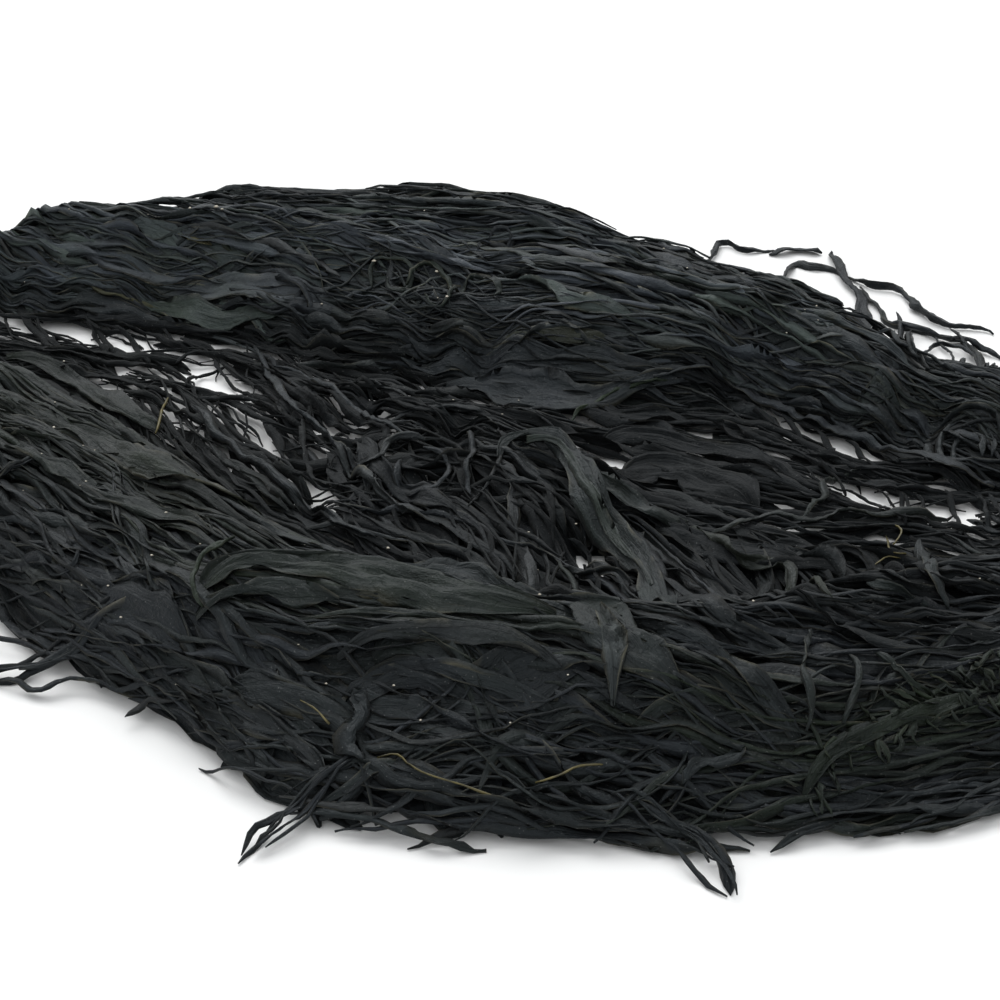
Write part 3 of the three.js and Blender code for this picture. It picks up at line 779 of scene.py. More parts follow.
# ---------------------------------------------------------------- the core
def make_core(piece):
    h = CORE + np.where(CORE > 0.4, 1.2 * smear(soften(soften(rng.normal(0, 1, (NY, NX)), 2, 0), 2, 1), 24.0), 0)
    h = np.where(CORE > 0.4, np.clip(h, 0.5, LIMIT_Z - 5), 0)[::2, ::2]
    gx, gy = np.meshgrid(GX[::2], GY[::2])
    keep = h > 0.4
    whole = keep[:-1, :-1] & keep[1:, :-1] & keep[:-1, 1:] & keep[1:, 1:]
    used = np.zeros_like(keep)
    for dj in (0, 1):
        for di in (0, 1):
            used[dj : used.shape[0] - 1 + dj, di : used.shape[1] - 1 + di] |= whole
    num = np.full(used.shape, -1)
    num[used] = np.arange(used.sum())
    top = np.stack([gx[used], gy[used], h[used]], 1)
    low = np.stack([gx[used], gy[used], np.full(used.sum(), 0.1)], 1)
    n = len(top)
    a, b, c, d = num[:-1, :-1][whole], num[:-1, 1:][whole], num[1:, 1:][whole], num[1:, :-1][whole]
    quads = [np.stack([a, b, c, d], 1), np.stack([d, c, b, a], 1) + n]
    pad = np.pad(whole, 1)
    inner = pad[1:-1, 1:-1]
    for dj, di, e0, e1 in ((-1, 0, (0, 0), (0, 1)), (1, 0, (1, 1), (1, 0)), (0, -1, (1, 0), (0, 0)), (0, 1, (0, 1), (1, 1))):
        other = pad[1 + dj : pad.shape[0] - 1 + dj, 1 + di : pad.shape[1] - 1 + di]
        j, i = np.nonzero(inner & ~other)
        p, r = num[j + e0[0], i + e0[1]], num[j + e1[0], i + e1[1]]
        quads.append(np.stack([r, p, p + n, r + n], 1))
    co = np.concatenate([top, low])
    strand = np.stack([co[:, 1], co[:, 0], np.full(len(co), 3.0)], 1)
    piece.add(co, strand, np.tile(np.array([[0.1, 0.0, 0.0]]), (len(co), 1)), np.concatenate(quads))


core = Piece("core")
make_core(core)

# ---------------------------------------------------------------- wide pleated blades
under, blades_a, blades_b = Piece("under_blades"), Piece("back_blades"), Piece("front_blades")
SEEN = 60.0  # the split between the back and the front pieces runs through here


def back(point):
    return point[1] > SEEN - 0.35 * point[0]


def lay_blades(n, low, high, span, over, deep, step, fine, stray, ruffle, curl, fold_share, only=None, limit=192000):
    starts = places(n, ANY)
    lines = follow(starts, rng.uniform(*span, n), 4.0, stray, 0.006, 9.0)
    for start, line in zip(starts, lines):
        half = rng.uniform(low, high) * (1 - 0.35 * float(sample(TANGLE, *start)))
        half *= 0.35 + 0.65 * min(1.0, float(sample(FORM, *start)) / 18.0)
        line = cut_to_heap(line, 3.0, rng.normal(-1.0, 1.6), half * 0.8)
        if line is None or len(line) < 16:
            continue
        target = only or (blades_a if back(line[len(line) // 2]) else blades_b)
        if target.faces > limit:
            continue
        pleat = rng.uniform(2.6, 7.0)
        blade(target, line, half, pleat=pleat, deep=deep * pleat * rng.uniform(0.7, 1.2), step=step, fine=fine, ruffle=ruffle, curl=curl, fold=rng.uniform(0.15, 0.4) if rng.random() < fold_share else 0.0, taper=tuple(rng.uniform(0.06, 0.25, 2)), over=over)


def runs_laid(extra=()):
    """The runs as lines on the heap, cut where they leave it."""
    out = []
    for r in list(RUNS) + list(extra):
        p = line_of(r, 4.0)
        ok = (sample(TOP, p[:, 0], p[:, 1]) > 4.0) & (np.abs(p[:, 0]) < LIMIT_X - 6) & (np.abs(p[:, 1]) < LIMIT_Y - 6)
        p = p[ok]
        if len(p) > 14:
            out.append(p)
    return out


for k in range(6):
    lay_blades(24, 10, 20, (160, 380), -7.0 + 0.7 * k, 0.30, 7.0, 2.7, 0.12, 1.0, 1.0, 0.1, under, 48000)
for k in range(4):
    lay_blades(24, 6, 15, (150, 360), -3.2 + 0.7 * k, 0.36, 4.4, 1.3, 0.12, 1.2, 1.6, 0.3, None, 62000)
for line in runs_laid():
    for k in range(2):
        half = rng.uniform(4.5, 10.5)
        off = rng.uniform(-9, 9)
        d = np.gradient(line, axis=0)
        d /= np.linalg.norm(d, axis=1, keepdims=True) + 1e-9
        sub = line + (off + 3 * wander(len(line), 16))[:, None] * np.stack([-d[:, 1], d[:, 0]], 1)
        a0 = int(rng.uniform(0, 0.3) * len(sub))
        sub = sub[a0 : a0 + int(rng.uniform(40, 90))]
        half *= 0.3 + 0.7 * min(1.0, float(sample(FORM, *sub[len(sub) // 2])) / 20.0) if len(sub) else 1.0
        sub = cut_to_heap(sub, 6.0, rng.normal(-1, 1.6), half)
        if sub is None or len(sub) < 18:
            continue
        pleat = rng.uniform(2.4, 4.4)
        blade(blades_a if back(sub[len(sub) // 2]) else blades_b, sub, half, fine=1.0, pleat=pleat, deep=0.36 * pleat * rng.uniform(0.8, 1.2), fold=rng.uniform(0.15, 0.4) if rng.random() < 0.3 else 0.0, taper=tuple(rng.uniform(0.06, 0.25, 2)), over=rng.uniform(-0.5, 1.5))

# ---------------------------------------------------------------- ribbons and strands
ribbons_a, ribbons_b, strands = Piece("back_ribbons"), Piece("front_ribbons"), Piece("strands")


def lay_ribbons(n, low, high, span, stray, loose, twist, crease, over, allowed=ANY, only=None, thin=False, thick=(0.35, 0.6), step=3.8, power=1.5, limit=104000):
    starts = places(n, allowed, power)
    length = rng.uniform(*span, n) * np.where(rng.random(n) < 0.3, 0.55, 1.0)
    lines = follow(starts, length, 3.6, stray, loose, 3.0)
    for line in lines:
        half = rng.uniform(low, high)
        line = cut_to_heap(line, 1.0, rng.normal(-1.0, 2.0), half)
        if line is None or len(line) < 18:
            continue
        target = only or (ribbons_a if back(line[len(line) // 2]) else ribbons_b)
        if target.faces > limit:
            continue
        ribbon(target, line, half, thick=rng.uniform(*thick), step=step, twist=twist * rng.uniform(0.4, 1.5), crease=crease, thin=thin, over=over, wriggle=rng.uniform(0.5, 2.2))


NET = ((FORM > 1.0) & (FORM < 20.0)).astype(float)  # the thin saddle, where only single strands and narrow blades cross
SEEN_U, SEEN_V = seen_at(np.stack([cell_x, cell_y, FORM], -1))
BY_GAPS = ((from_gap(SEEN_U, SEEN_V) < 16) & (FORM < 18) & (FORM > 0.8)).astype(float)
BACK_SIDE = ((cell_y > SEEN - 0.35 * cell_x) & (FORM > 12)).astype(float)
FRONT_SIDE = ((cell_y <= SEEN - 0.35 * cell_x) & (FORM > 8)).astype(float)
OLIVE = (GREEN > 0.42).astype(float) * FRONT_SIDE
CALM = 1 - 0.85 * np.clip(blobs([(700, 480, 90, 44, 1.0), (330, 590, 130, 30, 1.0), (620, 390, 90, 20, 1.0), (130, 625, 60, 26, 0.9), (720, 680, 60, 40, 0.9), (250, 720, 60, 30, 0.7), (480, 650, 90, 20, 0.7)]), 0, 1)
for k in range(3):
    lay_ribbons(34, 1.2, 4.2, (150, 320), 0.20, 0.006, 0.5, 0.8, 0.0 + 1.2 * k, allowed=NET * CALM, limit=46000)
for k in range(5):
    lay_ribbons(34, 1.6, 4.2, (130, 360), 0.10, 0.005, 0.6, 0.9, 0.4 * k)
for k in range(3):
    lay_ribbons(40, 0.6, 1.3, (90, 280), 0.16, 0.008, 0.8, 0.4, 2.5, only=strands, thin=True, thick=(0.3, 0.5), step=3.2, power=0.7, limit=50000)


def lay_strips(piece, n, low, high, span, over, allowed, stray=0.10, loose=0.008, lift=0.0, limit=190000, wriggle=(0.6, 1.8), margin=2.0, keep=10, green=None, grow=-0.5):
    """Narrow crinkled strips that follow the run close together."""
    room = np.clip(FORM + over - BED, 0.4, None) ** 0.6 * allowed * FACING
    chance = (room / room.sum()).ravel()
    at = rng.choice(len(chance), n, p=chance)
    starts = np.stack([GX[at % NX] + rng.uniform(-1, 1, n), GY[at // NX] + rng.uniform(-1, 1, n)], 1)
    lines = follow(starts, rng.uniform(*span, n), 3.6, stray, loose, margin)
    for line in lines:
        half = rng.uniform(low, high)
        line = cut_to_heap(line, 1.0, rng.normal(grow, 0.8), half)
        if line is None or len(line) < keep:
            continue
        if piece.faces > limit:
            break
        g, p = look_of(line[len(line) // 2, 0], line[len(line) // 2, 1], lift + rng.normal(0, 0.15))
        if green is not None:
            g = float(np.clip(g + green, 0, 1))
        ribbon(piece, line, half, thick=rng.uniform(0.28, 0.5), step=3.3, twist=rng.uniform(0.2, 0.9), crease=0.8, crinkle=0.18, thin=True, over=over * rng.uniform(0.5, 1.2), look=(g, p), wriggle=rng.uniform(*wriggle), bridge=1, tips=(0.2, 0.2))


strips_a, strips_b = Piece("back_strips"), Piece("front_strips")
# The strips beside the gaps, low between the streams, get pale lowered by 0.4 and 0.3: painted shade.
lay_strips(strips_b, 110, 0.8, 2.2, (60, 180), 1.0, BY_GAPS, 0.16, 0.006, -0.4, 100000, (0.3, 0.9), 1.0, 8, None, -1.2)
lay_strips(strands, 170, 0.35, 0.9, (50, 130), 1.5, BY_GAPS, 0.30, 0.012, -0.3, 104000, (0.4, 1.2), 0.8, 8, None, -1.8)
for k in range(5):
    lay_strips(strips_a, 90, 0.7, 1.9, (50, 150), 2.4 + 0.5 * k, BACK_SIDE)
for k in range(3):
    lay_strips(strips_b, 46, 1.0, 2.4, (100, 240), 1.6 + 0.5 * k, OLIVE, 0.03, 0.002, 0.0, 190000, (0.2, 0.7), 2.0, 10, 0.3)
for k in range(3):
    lay_strips(strips_b, 64, 0.7, 2.0, (50, 150), 2.0 + 0.5 * k, FRONT_SIDE * CALM)

FOOT = ((TOP > 1.0) & (FORM < 26) & (FORM_V > 600)).astype(float)
for k in range(2):
    lay_strips(strands, 32, 0.8, 2.0, (60, 150), 1.5 + 1.5 * k, FOOT, 0.14, 0.008, 0.0, 150000, (0.6, 1.8), 2.0, 8)

# ---------------------------------------------------------------- loose ends over the outline
# Root and heading of each hank that leaves the outline.
LOOSE_ENDS = [
    (-250, 186, 166, 70), (-252, 130, 192, 68), (-252, 44, 174, 68), (-206, -44, 192, 66), (-150, -130, 208, 60), (58, 216, 4, 72),
    (112, 180, -8, 78), (180, 106, 2, 78), (246, 26, -6, 78), (252, -36, 12, 66), (250, -124, -14, 70), (190, -190, -22, 64),
    (50, -234, -24, 50), (-60, -220, 212, 46),
]
for x, y, turn, length in LOOSE_ENDS:
    best = None
    for bend in np.linspace(-36, 36, 49):
        a = np.radians(turn + bend * np.arange(5) / 4)
        p = np.stack([x + TARGET[0] + length * np.arange(5) / 4 * np.cos(a), y + TARGET[1] + length * np.arange(5) / 4 * np.sin(a)], 1)
        d = (p[4] - p[3]) / np.linalg.norm(p[4] - p[3])
        beside = sample(TOP, *(p[4] + 11 * np.array([-d[1], d[0]]))) + sample(TOP, *(p[4] - 11 * np.array([-d[1], d[0]]))) + sample(TOP, *(p[4] + 9 * d))
        score = np.minimum(sample(TOP, *p[1:].T), 3.0).sum() + np.minimum(sample(TOP, *(0.5 * (p[1:] + p[:-1])).T), 3.0).sum() - 0.25 * beside
        if best is None or score > best[0]:
            best = (score, p)
    p = best[1]
    inward = p[0] - (p[1] - p[0]) * 1.6
    line = even(np.concatenate([[inward], p]), 4.0)
    for k in range(5):
        shift = rng.normal(0, 2.4 if k else 0.4, 2)
        sway = np.stack([wander(len(line), 8, 1.6), wander(len(line), 8, 1.6)], 1) * (1.0 if k else 0.3)
        end = len(line) if k == 0 else int(len(line) * rng.uniform(0.78, 1.0))
        sub = (line + shift + sway)[int(rng.uniform(0, 6)) : end]
        ribbon(strands if k > 1 else (ribbons_a if back(p[2]) else ribbons_b), sub, rng.uniform(1.0, 2.4) if k < 2 else rng.uniform(0.5, 1.0), thick=0.38, wriggle=1.0, twist=0.6, crease=0.6, thin=k > 1, over=3.0)
# ---------------------------------------------------------------- what stands out
# Blades: places in the view, width there, gap between folds (mm), curl, ruffle, fold, green, pale (partly own tone,
# partly painted highlight on the lit top of the back stream and painted shade where below 0), how far over the heap.
OPEN_BLADES = [
    ([(190, 690), (235, 708), (285, 738), (330, 775)], 34, 4.4, 2.4, 1.6, 0.3, 0.2, 0.10, 1.0),
    ([(225, 676), (280, 690), (330, 705), (372, 730)], 26, 4.0, 2.0, 1.6, 0.3, 0.3, 0.25, 2.0),
    ([(596, 436), (640, 436), (700, 446), (760, 462), (800, 486)], 32, 5.0, 1.4, 1.0, 0.3, 0.1, -0.75, 1.0),
    ([(604, 462), (650, 474), (700, 488), (764, 510)], 40, 5.0, 1.4, 1.0, 0.3, 0.1, -0.75, 2.0),
    ([(648, 524), (700, 540), (760, 552), (816, 566)], 30, 5.0, 1.4, 1.0, 0.2, 0.1, -0.65, 2.0),
    ([(560, 404), (600, 412), (650, 416), (700, 424)], 26, 5.0, 1.4, 1.0, 0.3, 0.1, -0.65, 1.0),
    ([(352, 440), (380, 470), (420, 500), (470, 520)], 22, 4.0, 1.8, 1.2, 0.3, 0.1, -0.40, 2.0),
    ([(650, 622), (700, 640), (740, 668), (780, 708), (812, 762)], 26, 2.9, 2.0, 2.0, 0.3, 0.25, 0.35, 1.5),
    ([(560, 596), (600, 622), (640, 656), (690, 692)], 44, 4.0, 1.6, 1.4, 0.25, 0.4, 0.45, 2.0),
    ([(100, 585), (130, 600), (160, 620), (192, 646)], 34, 6.0, 1.0, 0.9, 0.2, 0.1, 0.40, 2.0),
    ([(76, 616), (110, 634), (155, 656)], 28, 7.0, 0.8, 0.8, 0.0, 0.1, 0.25, 2.0),
    ([(0, 352), (40, 365), (90, 392), (130, 415), (172, 432)], 22, 4.0, 1.4, 0.8, 0.2, 1.0, 0.10, 2.0),
    ([(-60, 380), (0, 398), (60, 425), (110, 446), (160, 462)], 26, 4.2, 1.4, 0.8, 0.0, 1.0, 0.05, 1.6),
    ([(40, 418), (100, 440), (150, 460), (200, 480), (250, 505), (292, 527)], 28, 4.4, 1.4, 0.8, 0.2, 1.0, 0.15, 2.4),
    ([(0, 440), (60, 470), (120, 500), (180, 520), (216, 541)], 22, 4.0, 1.4, 1.0, 0.2, 0.8, 0.00, 2.6),
    ([(118, 262), (160, 279), (200, 290), (250, 288), (300, 292), (344, 301)], 22, 4.0, 1.6, 1.2, 0.2, 0.1, 1.40, 3.0),
    ([(130, 296), (165, 312), (205, 321), (245, 319), (275, 307), (302, 298)], 18, 4.6, 2.2, 1.2, 0.2, 0.5, 1.20, 3.6),
    ([(477, 332), (520, 329), (560, 331), (628, 342)], 13, 5.0, 1.0, 0.6, 0.0, 1.12, 0.05, 3.0),
    ([(390, 348), (450, 351), (520, 352), (580, 360), (640, 372), (682, 384)], 34, 4.0, 1.8, 1.2, 0.2, 0.1, 0.50, 3.0),
    ([(440, 386), (490, 392), (540, 400), (580, 402), (620, 392), (660, 380), (702, 375)], 26, 4.4, 2.4, 2.0, 0.2, 0.1, 0.60, 3.6),
    ([(515, 279), (545, 287), (575, 297), (605, 307), (644, 317)], 14, 2.8, 2.4, 2.8, 0.0, 0.4, 1.60, 4.0),
    ([(908, 370), (886, 385), (865, 402), (843, 428)], 18, 3.0, 1.8, 1.8, 0.2, 0.5, 0.60, 2.0),
    ([(130, 221), (160, 236), (188, 251)], 24, 4.0, 1.0, 1.4, 0.0, 0.3, 1.50, 3.0),
    ([(330, 556), (380, 565), (430, 572), (490, 588), (545, 610)], 44, 5.2, 1.6, 1.2, 0.2, 0.3, 0.42, 2.4),
    ([(196, 590), (225, 566), (270, 560), (320, 570), (380, 582), (440, 592), (510, 602), (570, 614)], 52, 5.6, 2.2, 1.6, 0.15, 0.8, 0.45, 3.6),
    ([(196, 620), (220, 600), (260, 596), (310, 598), (345, 604)], 22, 5.0, 2.6, 1.4, 0.3, 0.6, 0.45, 4.4),
    ([(330, 668), (370, 642), (420, 629), (480, 632), (540, 650), (572, 682)], 19, 3.3, 2.2, 2.0, 0.35, 0.2, 0.50, 3.0),
    ([(420, 664), (460, 671), (510, 689), (556, 709)], 20, 3.3, 2.4, 1.8, 0.3, 0.2, 0.45, 3.0),
    ([(498, 462), (505, 446), (531, 436), (560, 443), (582, 471), (598, 505), (616, 538), (642, 565), (676, 606)], 25, 3.2, 2.4, 2.2, 0.30, 0.35, 0.70, 6.0),
    ([(520, 446), (548, 440), (566, 452), (584, 486), (603, 522), (625, 556), (655, 590)], 9, 3.0, 1.4, 1.4, 0.0, 0.5, 1.0, 9.0),
    ([(600, 606), (612, 640), (616, 680), (612, 716)], 15, 3.0, 2.8, 2.4, 0.4, 0.35, 0.80, 3.6),
    ([(1004, 688), (960, 698), (918, 712), (880, 730), (851, 743), (822, 761), (800, 802)], 20, 3.0, 1.8, 2.6, 0.0, 1.0, 0.45, 3.6),
]
# Ribbons: places in the view, width there, twist, crease, green, pale (partly own tone, partly painted highlight on the
# lit top of the back stream), how far over the heap.
FOLDED_RIBBONS = [
    ([(596, 474), (625, 498), (654, 516), (692, 524)], 15, 0.5, 1.2, 0.5, 0.60, 5.0),
    ([(686, 524), (724, 545), (739, 565), (762, 570), (788, 579), (820, 590), (843, 609)], 10, 0.5, 1.2, 0.9, 0.55, 5.0),
    ([(700, 531), (735, 527), (770, 520), (806, 525), (835, 516), (873, 518), (918, 520), (962, 525)], 7, 0.9, 0.8, 0.5, 0.50, 5.0),
    ([(800, 524), (815, 512), (818, 500), (836, 484), (862, 470)], 5, 0.9, 0.8, 0.6, 0.45, 6.0),
    ([(920, 541), (931, 574), (940, 590), (950, 612)], 13, 0.5, 0.6, 0.3, 0.65, 5.0),
    ([(930, 606), (905, 596), (880, 592), (866, 586)], 9, 0.7, 0.8, 0.3, 0.60, 5.0),
    ([(190, 400), (208, 429), (235, 450), (263, 467), (295, 498), (350, 527), (412, 545)], 9, 0.8, 0.9, 0.2, 0.50, 5.0),
    ([(255, 348), (268, 379), (290, 410), (312, 427), (350, 467), (372, 500)], 7, 0.8, 0.9, 0.1, 0.60, 7.0),
    ([(268, 364), (301, 372), (344, 401), (380, 425), (420, 442)], 5, 0.8, 0.8, 0.1, 0.50, 6.0),
    ([(330, 445), (359, 474), (386, 505), (404, 516), (444, 533)], 7, 0.8, 0.8, 0.2, 0.55, 6.0),
    ([(350, 470), (372, 462), (388, 446), (410, 437), (432, 440)], 6, 0.8, 0.8, 0.2, 0.50, 6.0),
    ([(76, 277), (100, 289), (134, 294), (161, 305), (188, 305)], 4, 0.8, 0.6, 1.2, 0.95, 4.0),
    ([(30, 228), (55, 245), (75, 262), (97, 273)], 12, 0.4, 0.8, 0.1, 1.00, 4.0),
    ([(-20, 214), (20, 222), (48, 232), (70, 250)], 8, 0.6, 0.8, 0.2, 0.80, 3.0),
    ([(256, 262), (276, 270), (292, 282), (306, 296), (314, 308), (306, 316), (297, 306), (302, 290), (318, 282)], 8, 0.6, 0.9, 0.1, 0.60, 5.0),
    ([(230, 268), (252, 260), (266, 246), (270, 236)], 7, 0.6, 0.9, 0.1, 0.60, 5.0),
    ([(372, 292), (374, 268), (390, 258), (408, 262), (412, 280), (398, 292), (386, 284), (392, 272)], 4, 0.6, 0.8, 0.6, 0.60, 5.0),
    ([(408, 286), (420, 268), (438, 268), (448, 282), (446, 300), (430, 302), (422, 290)], 4, 0.6, 0.8, 0.7, 0.60, 5.0),
    ([(452, 300), (464, 284), (480, 278), (496, 284), (500, 296), (488, 302)], 6, 0.6, 0.8, 0.6, 0.50, 5.0),
    ([(478, 250), (486, 236), (500, 228), (512, 234), (510, 248), (498, 256)], 7, 0.6, 0.9, 0.1, 0.60, 4.0),
    ([(404, 458), (394, 470), (400, 486), (420, 494), (442, 488), (450, 470), (438, 454), (418, 450)], 7, 0.6, 0.9, 0.1, 0.40, 5.0),
    ([(468, 425), (474, 450), (466, 472), (472, 496)], 7, 0.6, 0.9, 0.1, 0.40, 4.0),
    ([(120, 640), (80, 642), (45, 645), (20, 628), (-4, 609)], 8, 0.8, 0.8, 0.1, 0.20, 3.0),
    ([(190, 664), (160, 662), (89, 658), (29, 654), (-6, 650), (-40, 636)], 8, 0.8, 0.8, 0.1, 0.20, 3.0),
    ([(196, 662), (170, 668), (125, 688), (78, 690), (40, 700), (10, 690), (-16, 676)], 8, 0.8, 0.8, 0.1, 0.20, 3.0),
    ([(216, 690), (190, 690), (165, 692), (143, 702), (124, 731)], 9, 0.6, 0.8, 0.1, 0.20, 3.0),
    ([(812, 630), (803, 670), (812, 700), (806, 736)], 7, 1.2, 0.8, 0.5, 0.45, 5.0),
    ([(848, 652), (857, 690), (842, 726)], 7, 1.2, 0.8, 0.6, 0.45, 5.0),
    ([(872, 648), (896, 665), (913, 692), (951, 689), (982, 708)], 8, 1.0, 0.8, 0.7, 0.50, 6.0),
    ([(352, 698), (362, 720), (348, 741), (366, 768)], 13, 0.6, 1.2, 0.2, 0.50, 5.0),
    ([(683, 787), (704, 770), (724, 756), (742, 742)], 13, 0.6, 0.9, 0.3, 0.55, 5.0),
    ([(930, 472), (926, 440), (944, 412), (972, 406), (998, 420), (1004, 452)], 9, 0.4, 0.9, 0.2, 0.45, 5.0),
    ([(944, 468), (940, 444), (952, 424), (972, 420), (990, 434), (992, 462)], 7, 0.4, 0.9, 0.2, 0.50, 5.0),
    ([(956, 462), (954, 446), (964, 434), (978, 438), (982, 458)], 6, 0.4, 0.9, 0.2, 0.45, 5.0),
    ([(648, 378), (706, 376), (739, 390), (775, 405), (802, 419), (862, 445), (940, 465), (1003, 490)], 11, 0.25, 0.6, 0.1, 0.30, 7.0),
    ([(569, 421), (595, 400), (616, 387), (671, 376)], 3.4, 0.5, 0.6, 1.0, 0.95, 6.0),
    ([(236, 540), (212, 556), (198, 574), (196, 594), (204, 610)], 5, 0.4, 0.8, 1.0, 0.80, 7.0),
    ([(38, 546), (48, 565), (62, 573), (76, 563), (75, 548)], 5, 0.6, 0.8, 0.2, 0.50, 4.0),
    ([(100, 548), (118, 560), (132, 572), (150, 574)], 8, 0.6, 0.8, 0.1, 0.40, 4.0),
    ([(178, 231), (194, 236), (212, 246)], 9, 0.4, 0.8, 1.5, 0.70, 5.0),
    ([(220, 240), (240, 252), (262, 256)], 6, 0.6, 0.8, 1.0, 0.60, 4.0),
    ([(846, 276), (872, 288), (896, 294), (918, 312), (947, 329), (967, 327), (1000, 338)], 7, 0.8, 0.8, 0.1, 0.10, 3.0),
    ([(856, 287), (870, 300), (882, 312), (887, 327), (918, 334), (940, 343), (969, 350), (1000, 380)], 6, 0.8, 0.8, 0.3, 0.15, 3.0),
    ([(868, 340), (890, 344), (916, 356), (930, 372)], 6, 0.8, 0.8, 0.2, 0.15, 3.0),
    ([(886, 328), (896, 344), (912, 352), (940, 366), (958, 372)], 5, 0.8, 0.8, 0.2, 0.15, 4.0),
    ([(906, 334), (910, 350), (926, 362)], 5, 0.8, 0.8, 0.2, 0.15, 4.0),
    ([(880, 322), (905, 330), (930, 333), (955, 345), (985, 352), (1010, 366)], 5, 0.8, 0.8, 0.1, 0.10, 3.0),
    ([(894, 318), (900, 332), (914, 345), (922, 360)], 5, 0.8, 0.8, 0.1, 0.10, 3.0),
    ([(930, 336), (938, 350), (950, 358), (965, 372)], 4, 0.8, 0.8, 0.1, 0.10, 3.0),
    ([(950, 334), (962, 345), (975, 360), (990, 378)], 4, 0.8, 0.8, 0.1, 0.10, 3.0),
    ([(905, 350), (930, 352), (955, 352), (980, 362), (1000, 376)], 4, 0.8, 0.8, 0.1, 0.10, 3.0),
    ([(862, 330), (880, 338), (900, 336), (912, 324)], 5, 0.8, 0.8, 0.1, 0.10, 3.0),
    ([(752, 276), (788, 270), (811, 272), (830, 271), (850, 281)], 9, 0.5, 0.6, 0.1, 0.15, 3.0),
    ([(690, 250), (716, 249), (742, 254), (766, 252), (790, 254)], 6, 0.8, 0.8, 0.1, 0.10, 3.0),
    ([(770, 257), (797, 252), (826, 256)], 12, 0.3, 0.6, 0.1, 0.10, 3.0),
    ([(836, 252), (831, 262), (838, 274), (848, 290), (860, 306), (876, 326)], 10, 0.4, 0.7, 0.1, 0.10, 3.0),
]
# What crosses between the gaps: places in the view, width there.
CROSSINGS = [
    ([(8, 296), (20, 308), (26, 320), (38, 338), (56, 352)], 7), ([(30, 300), (36, 318), (42, 334), (60, 350)], 5),
    ([(70, 300), (86, 316), (93, 334), (108, 356)], 7), ([(78, 306), (92, 322), (100, 340), (120, 362)], 5),
    ([(84, 318), (104, 334), (124, 337), (142, 352)], 5), ([(104, 312), (122, 326), (142, 334), (164, 344), (190, 352)], 6),
    ([(112, 326), (128, 338), (134, 352), (150, 366)], 5), ([(150, 318), (164, 328), (176, 342), (196, 356)], 4),
    ([(30, 346), (70, 354), (110, 357), (150, 358), (190, 362)], 9), ([(40, 352), (90, 362), (140, 370), (186, 382)], 7),
    ([(60, 368), (96, 378), (130, 381), (166, 396)], 7), ([(184, 386), (200, 380), (214, 378), (228, 366)], 4),
    ([(176, 366), (196, 356), (230, 360), (256, 372)], 8), ([(214, 360), (220, 374), (234, 392), (256, 408)], 4),
    ([(196, 398), (224, 404), (252, 408), (280, 420)], 8), ([(120, 392), (150, 400), (176, 412), (204, 424)], 6),
    ([(736, 390), (746, 400), (756, 414), (776, 426)], 6), ([(764, 398), (776, 412), (788, 428), (806, 444)], 5),
    ([(796, 414), (808, 428), (822, 440), (838, 458)], 6), ([(846, 436), (858, 448), (868, 462), (884, 474)], 6),
    ([(876, 442), (888, 454), (900, 466)], 5), ([(742, 424), (780, 432), (812, 448), (850, 466), (896, 474), (940, 478)], 9),
    ([(716, 418), (760, 440), (800, 452), (836, 474), (880, 486), (930, 492), (990, 494)], 11), ([(804, 452), (824, 466), (836, 480), (846, 498)], 6),
    ([(896, 490), (902, 502), (905, 514), (908, 528)], 5), ([(904, 488), (908, 502), (912, 520)], 3.4), ([(918, 492), (921, 506), (926, 524)], 4),
    ([(946, 490), (952, 506), (955, 522), (962, 536)], 7), ([(976, 488), (984, 504), (988, 522), (996, 536)], 6), ([(990, 484), (994, 504), (1002, 524)], 4),
    ([(262, 370), (290, 392), (320, 416), (352, 438)], 12), ([(284, 364), (316, 388), (346, 406), (384, 426)], 12),
    ([(298, 358), (350, 374), (398, 382), (440, 390)], 12), ([(330, 372), (380, 392), (424, 406), (460, 414)], 12), ([(286, 348), (340, 360), (400, 368), (450, 378)], 11),
    ([(770, 540), (820, 552), (870, 562), (930, 570), (1000, 580)], 15), ([(786, 556), (836, 566), (890, 576), (950, 588)], 15),
    ([(812, 544), (860, 552), (920, 556), (990, 564)], 13), ([(800, 570), (850, 578), (905, 588)], 12), ([(750, 560), (800, 566), (850, 572), (910, 580)], 12),
    ([(824, 482), (860, 500), (900, 520), (930, 524), (964, 532), (1000, 536)], 6), ([(846, 484), (880, 500), (900, 506)], 4),
    ([(568, 540), (584, 552), (588, 564), (600, 578)], 5), ([(560, 566), (590, 574), (620, 574), (640, 588)], 6), ([(606, 558), (618, 568), (634, 574)], 4),
    ([(404, 372), (418, 384), (436, 392), (456, 398)], 4), ([(326, 430), (344, 436), (360, 444)], 3.4), ([(298, 506), (312, 512), (330, 520)], 3.4),
]
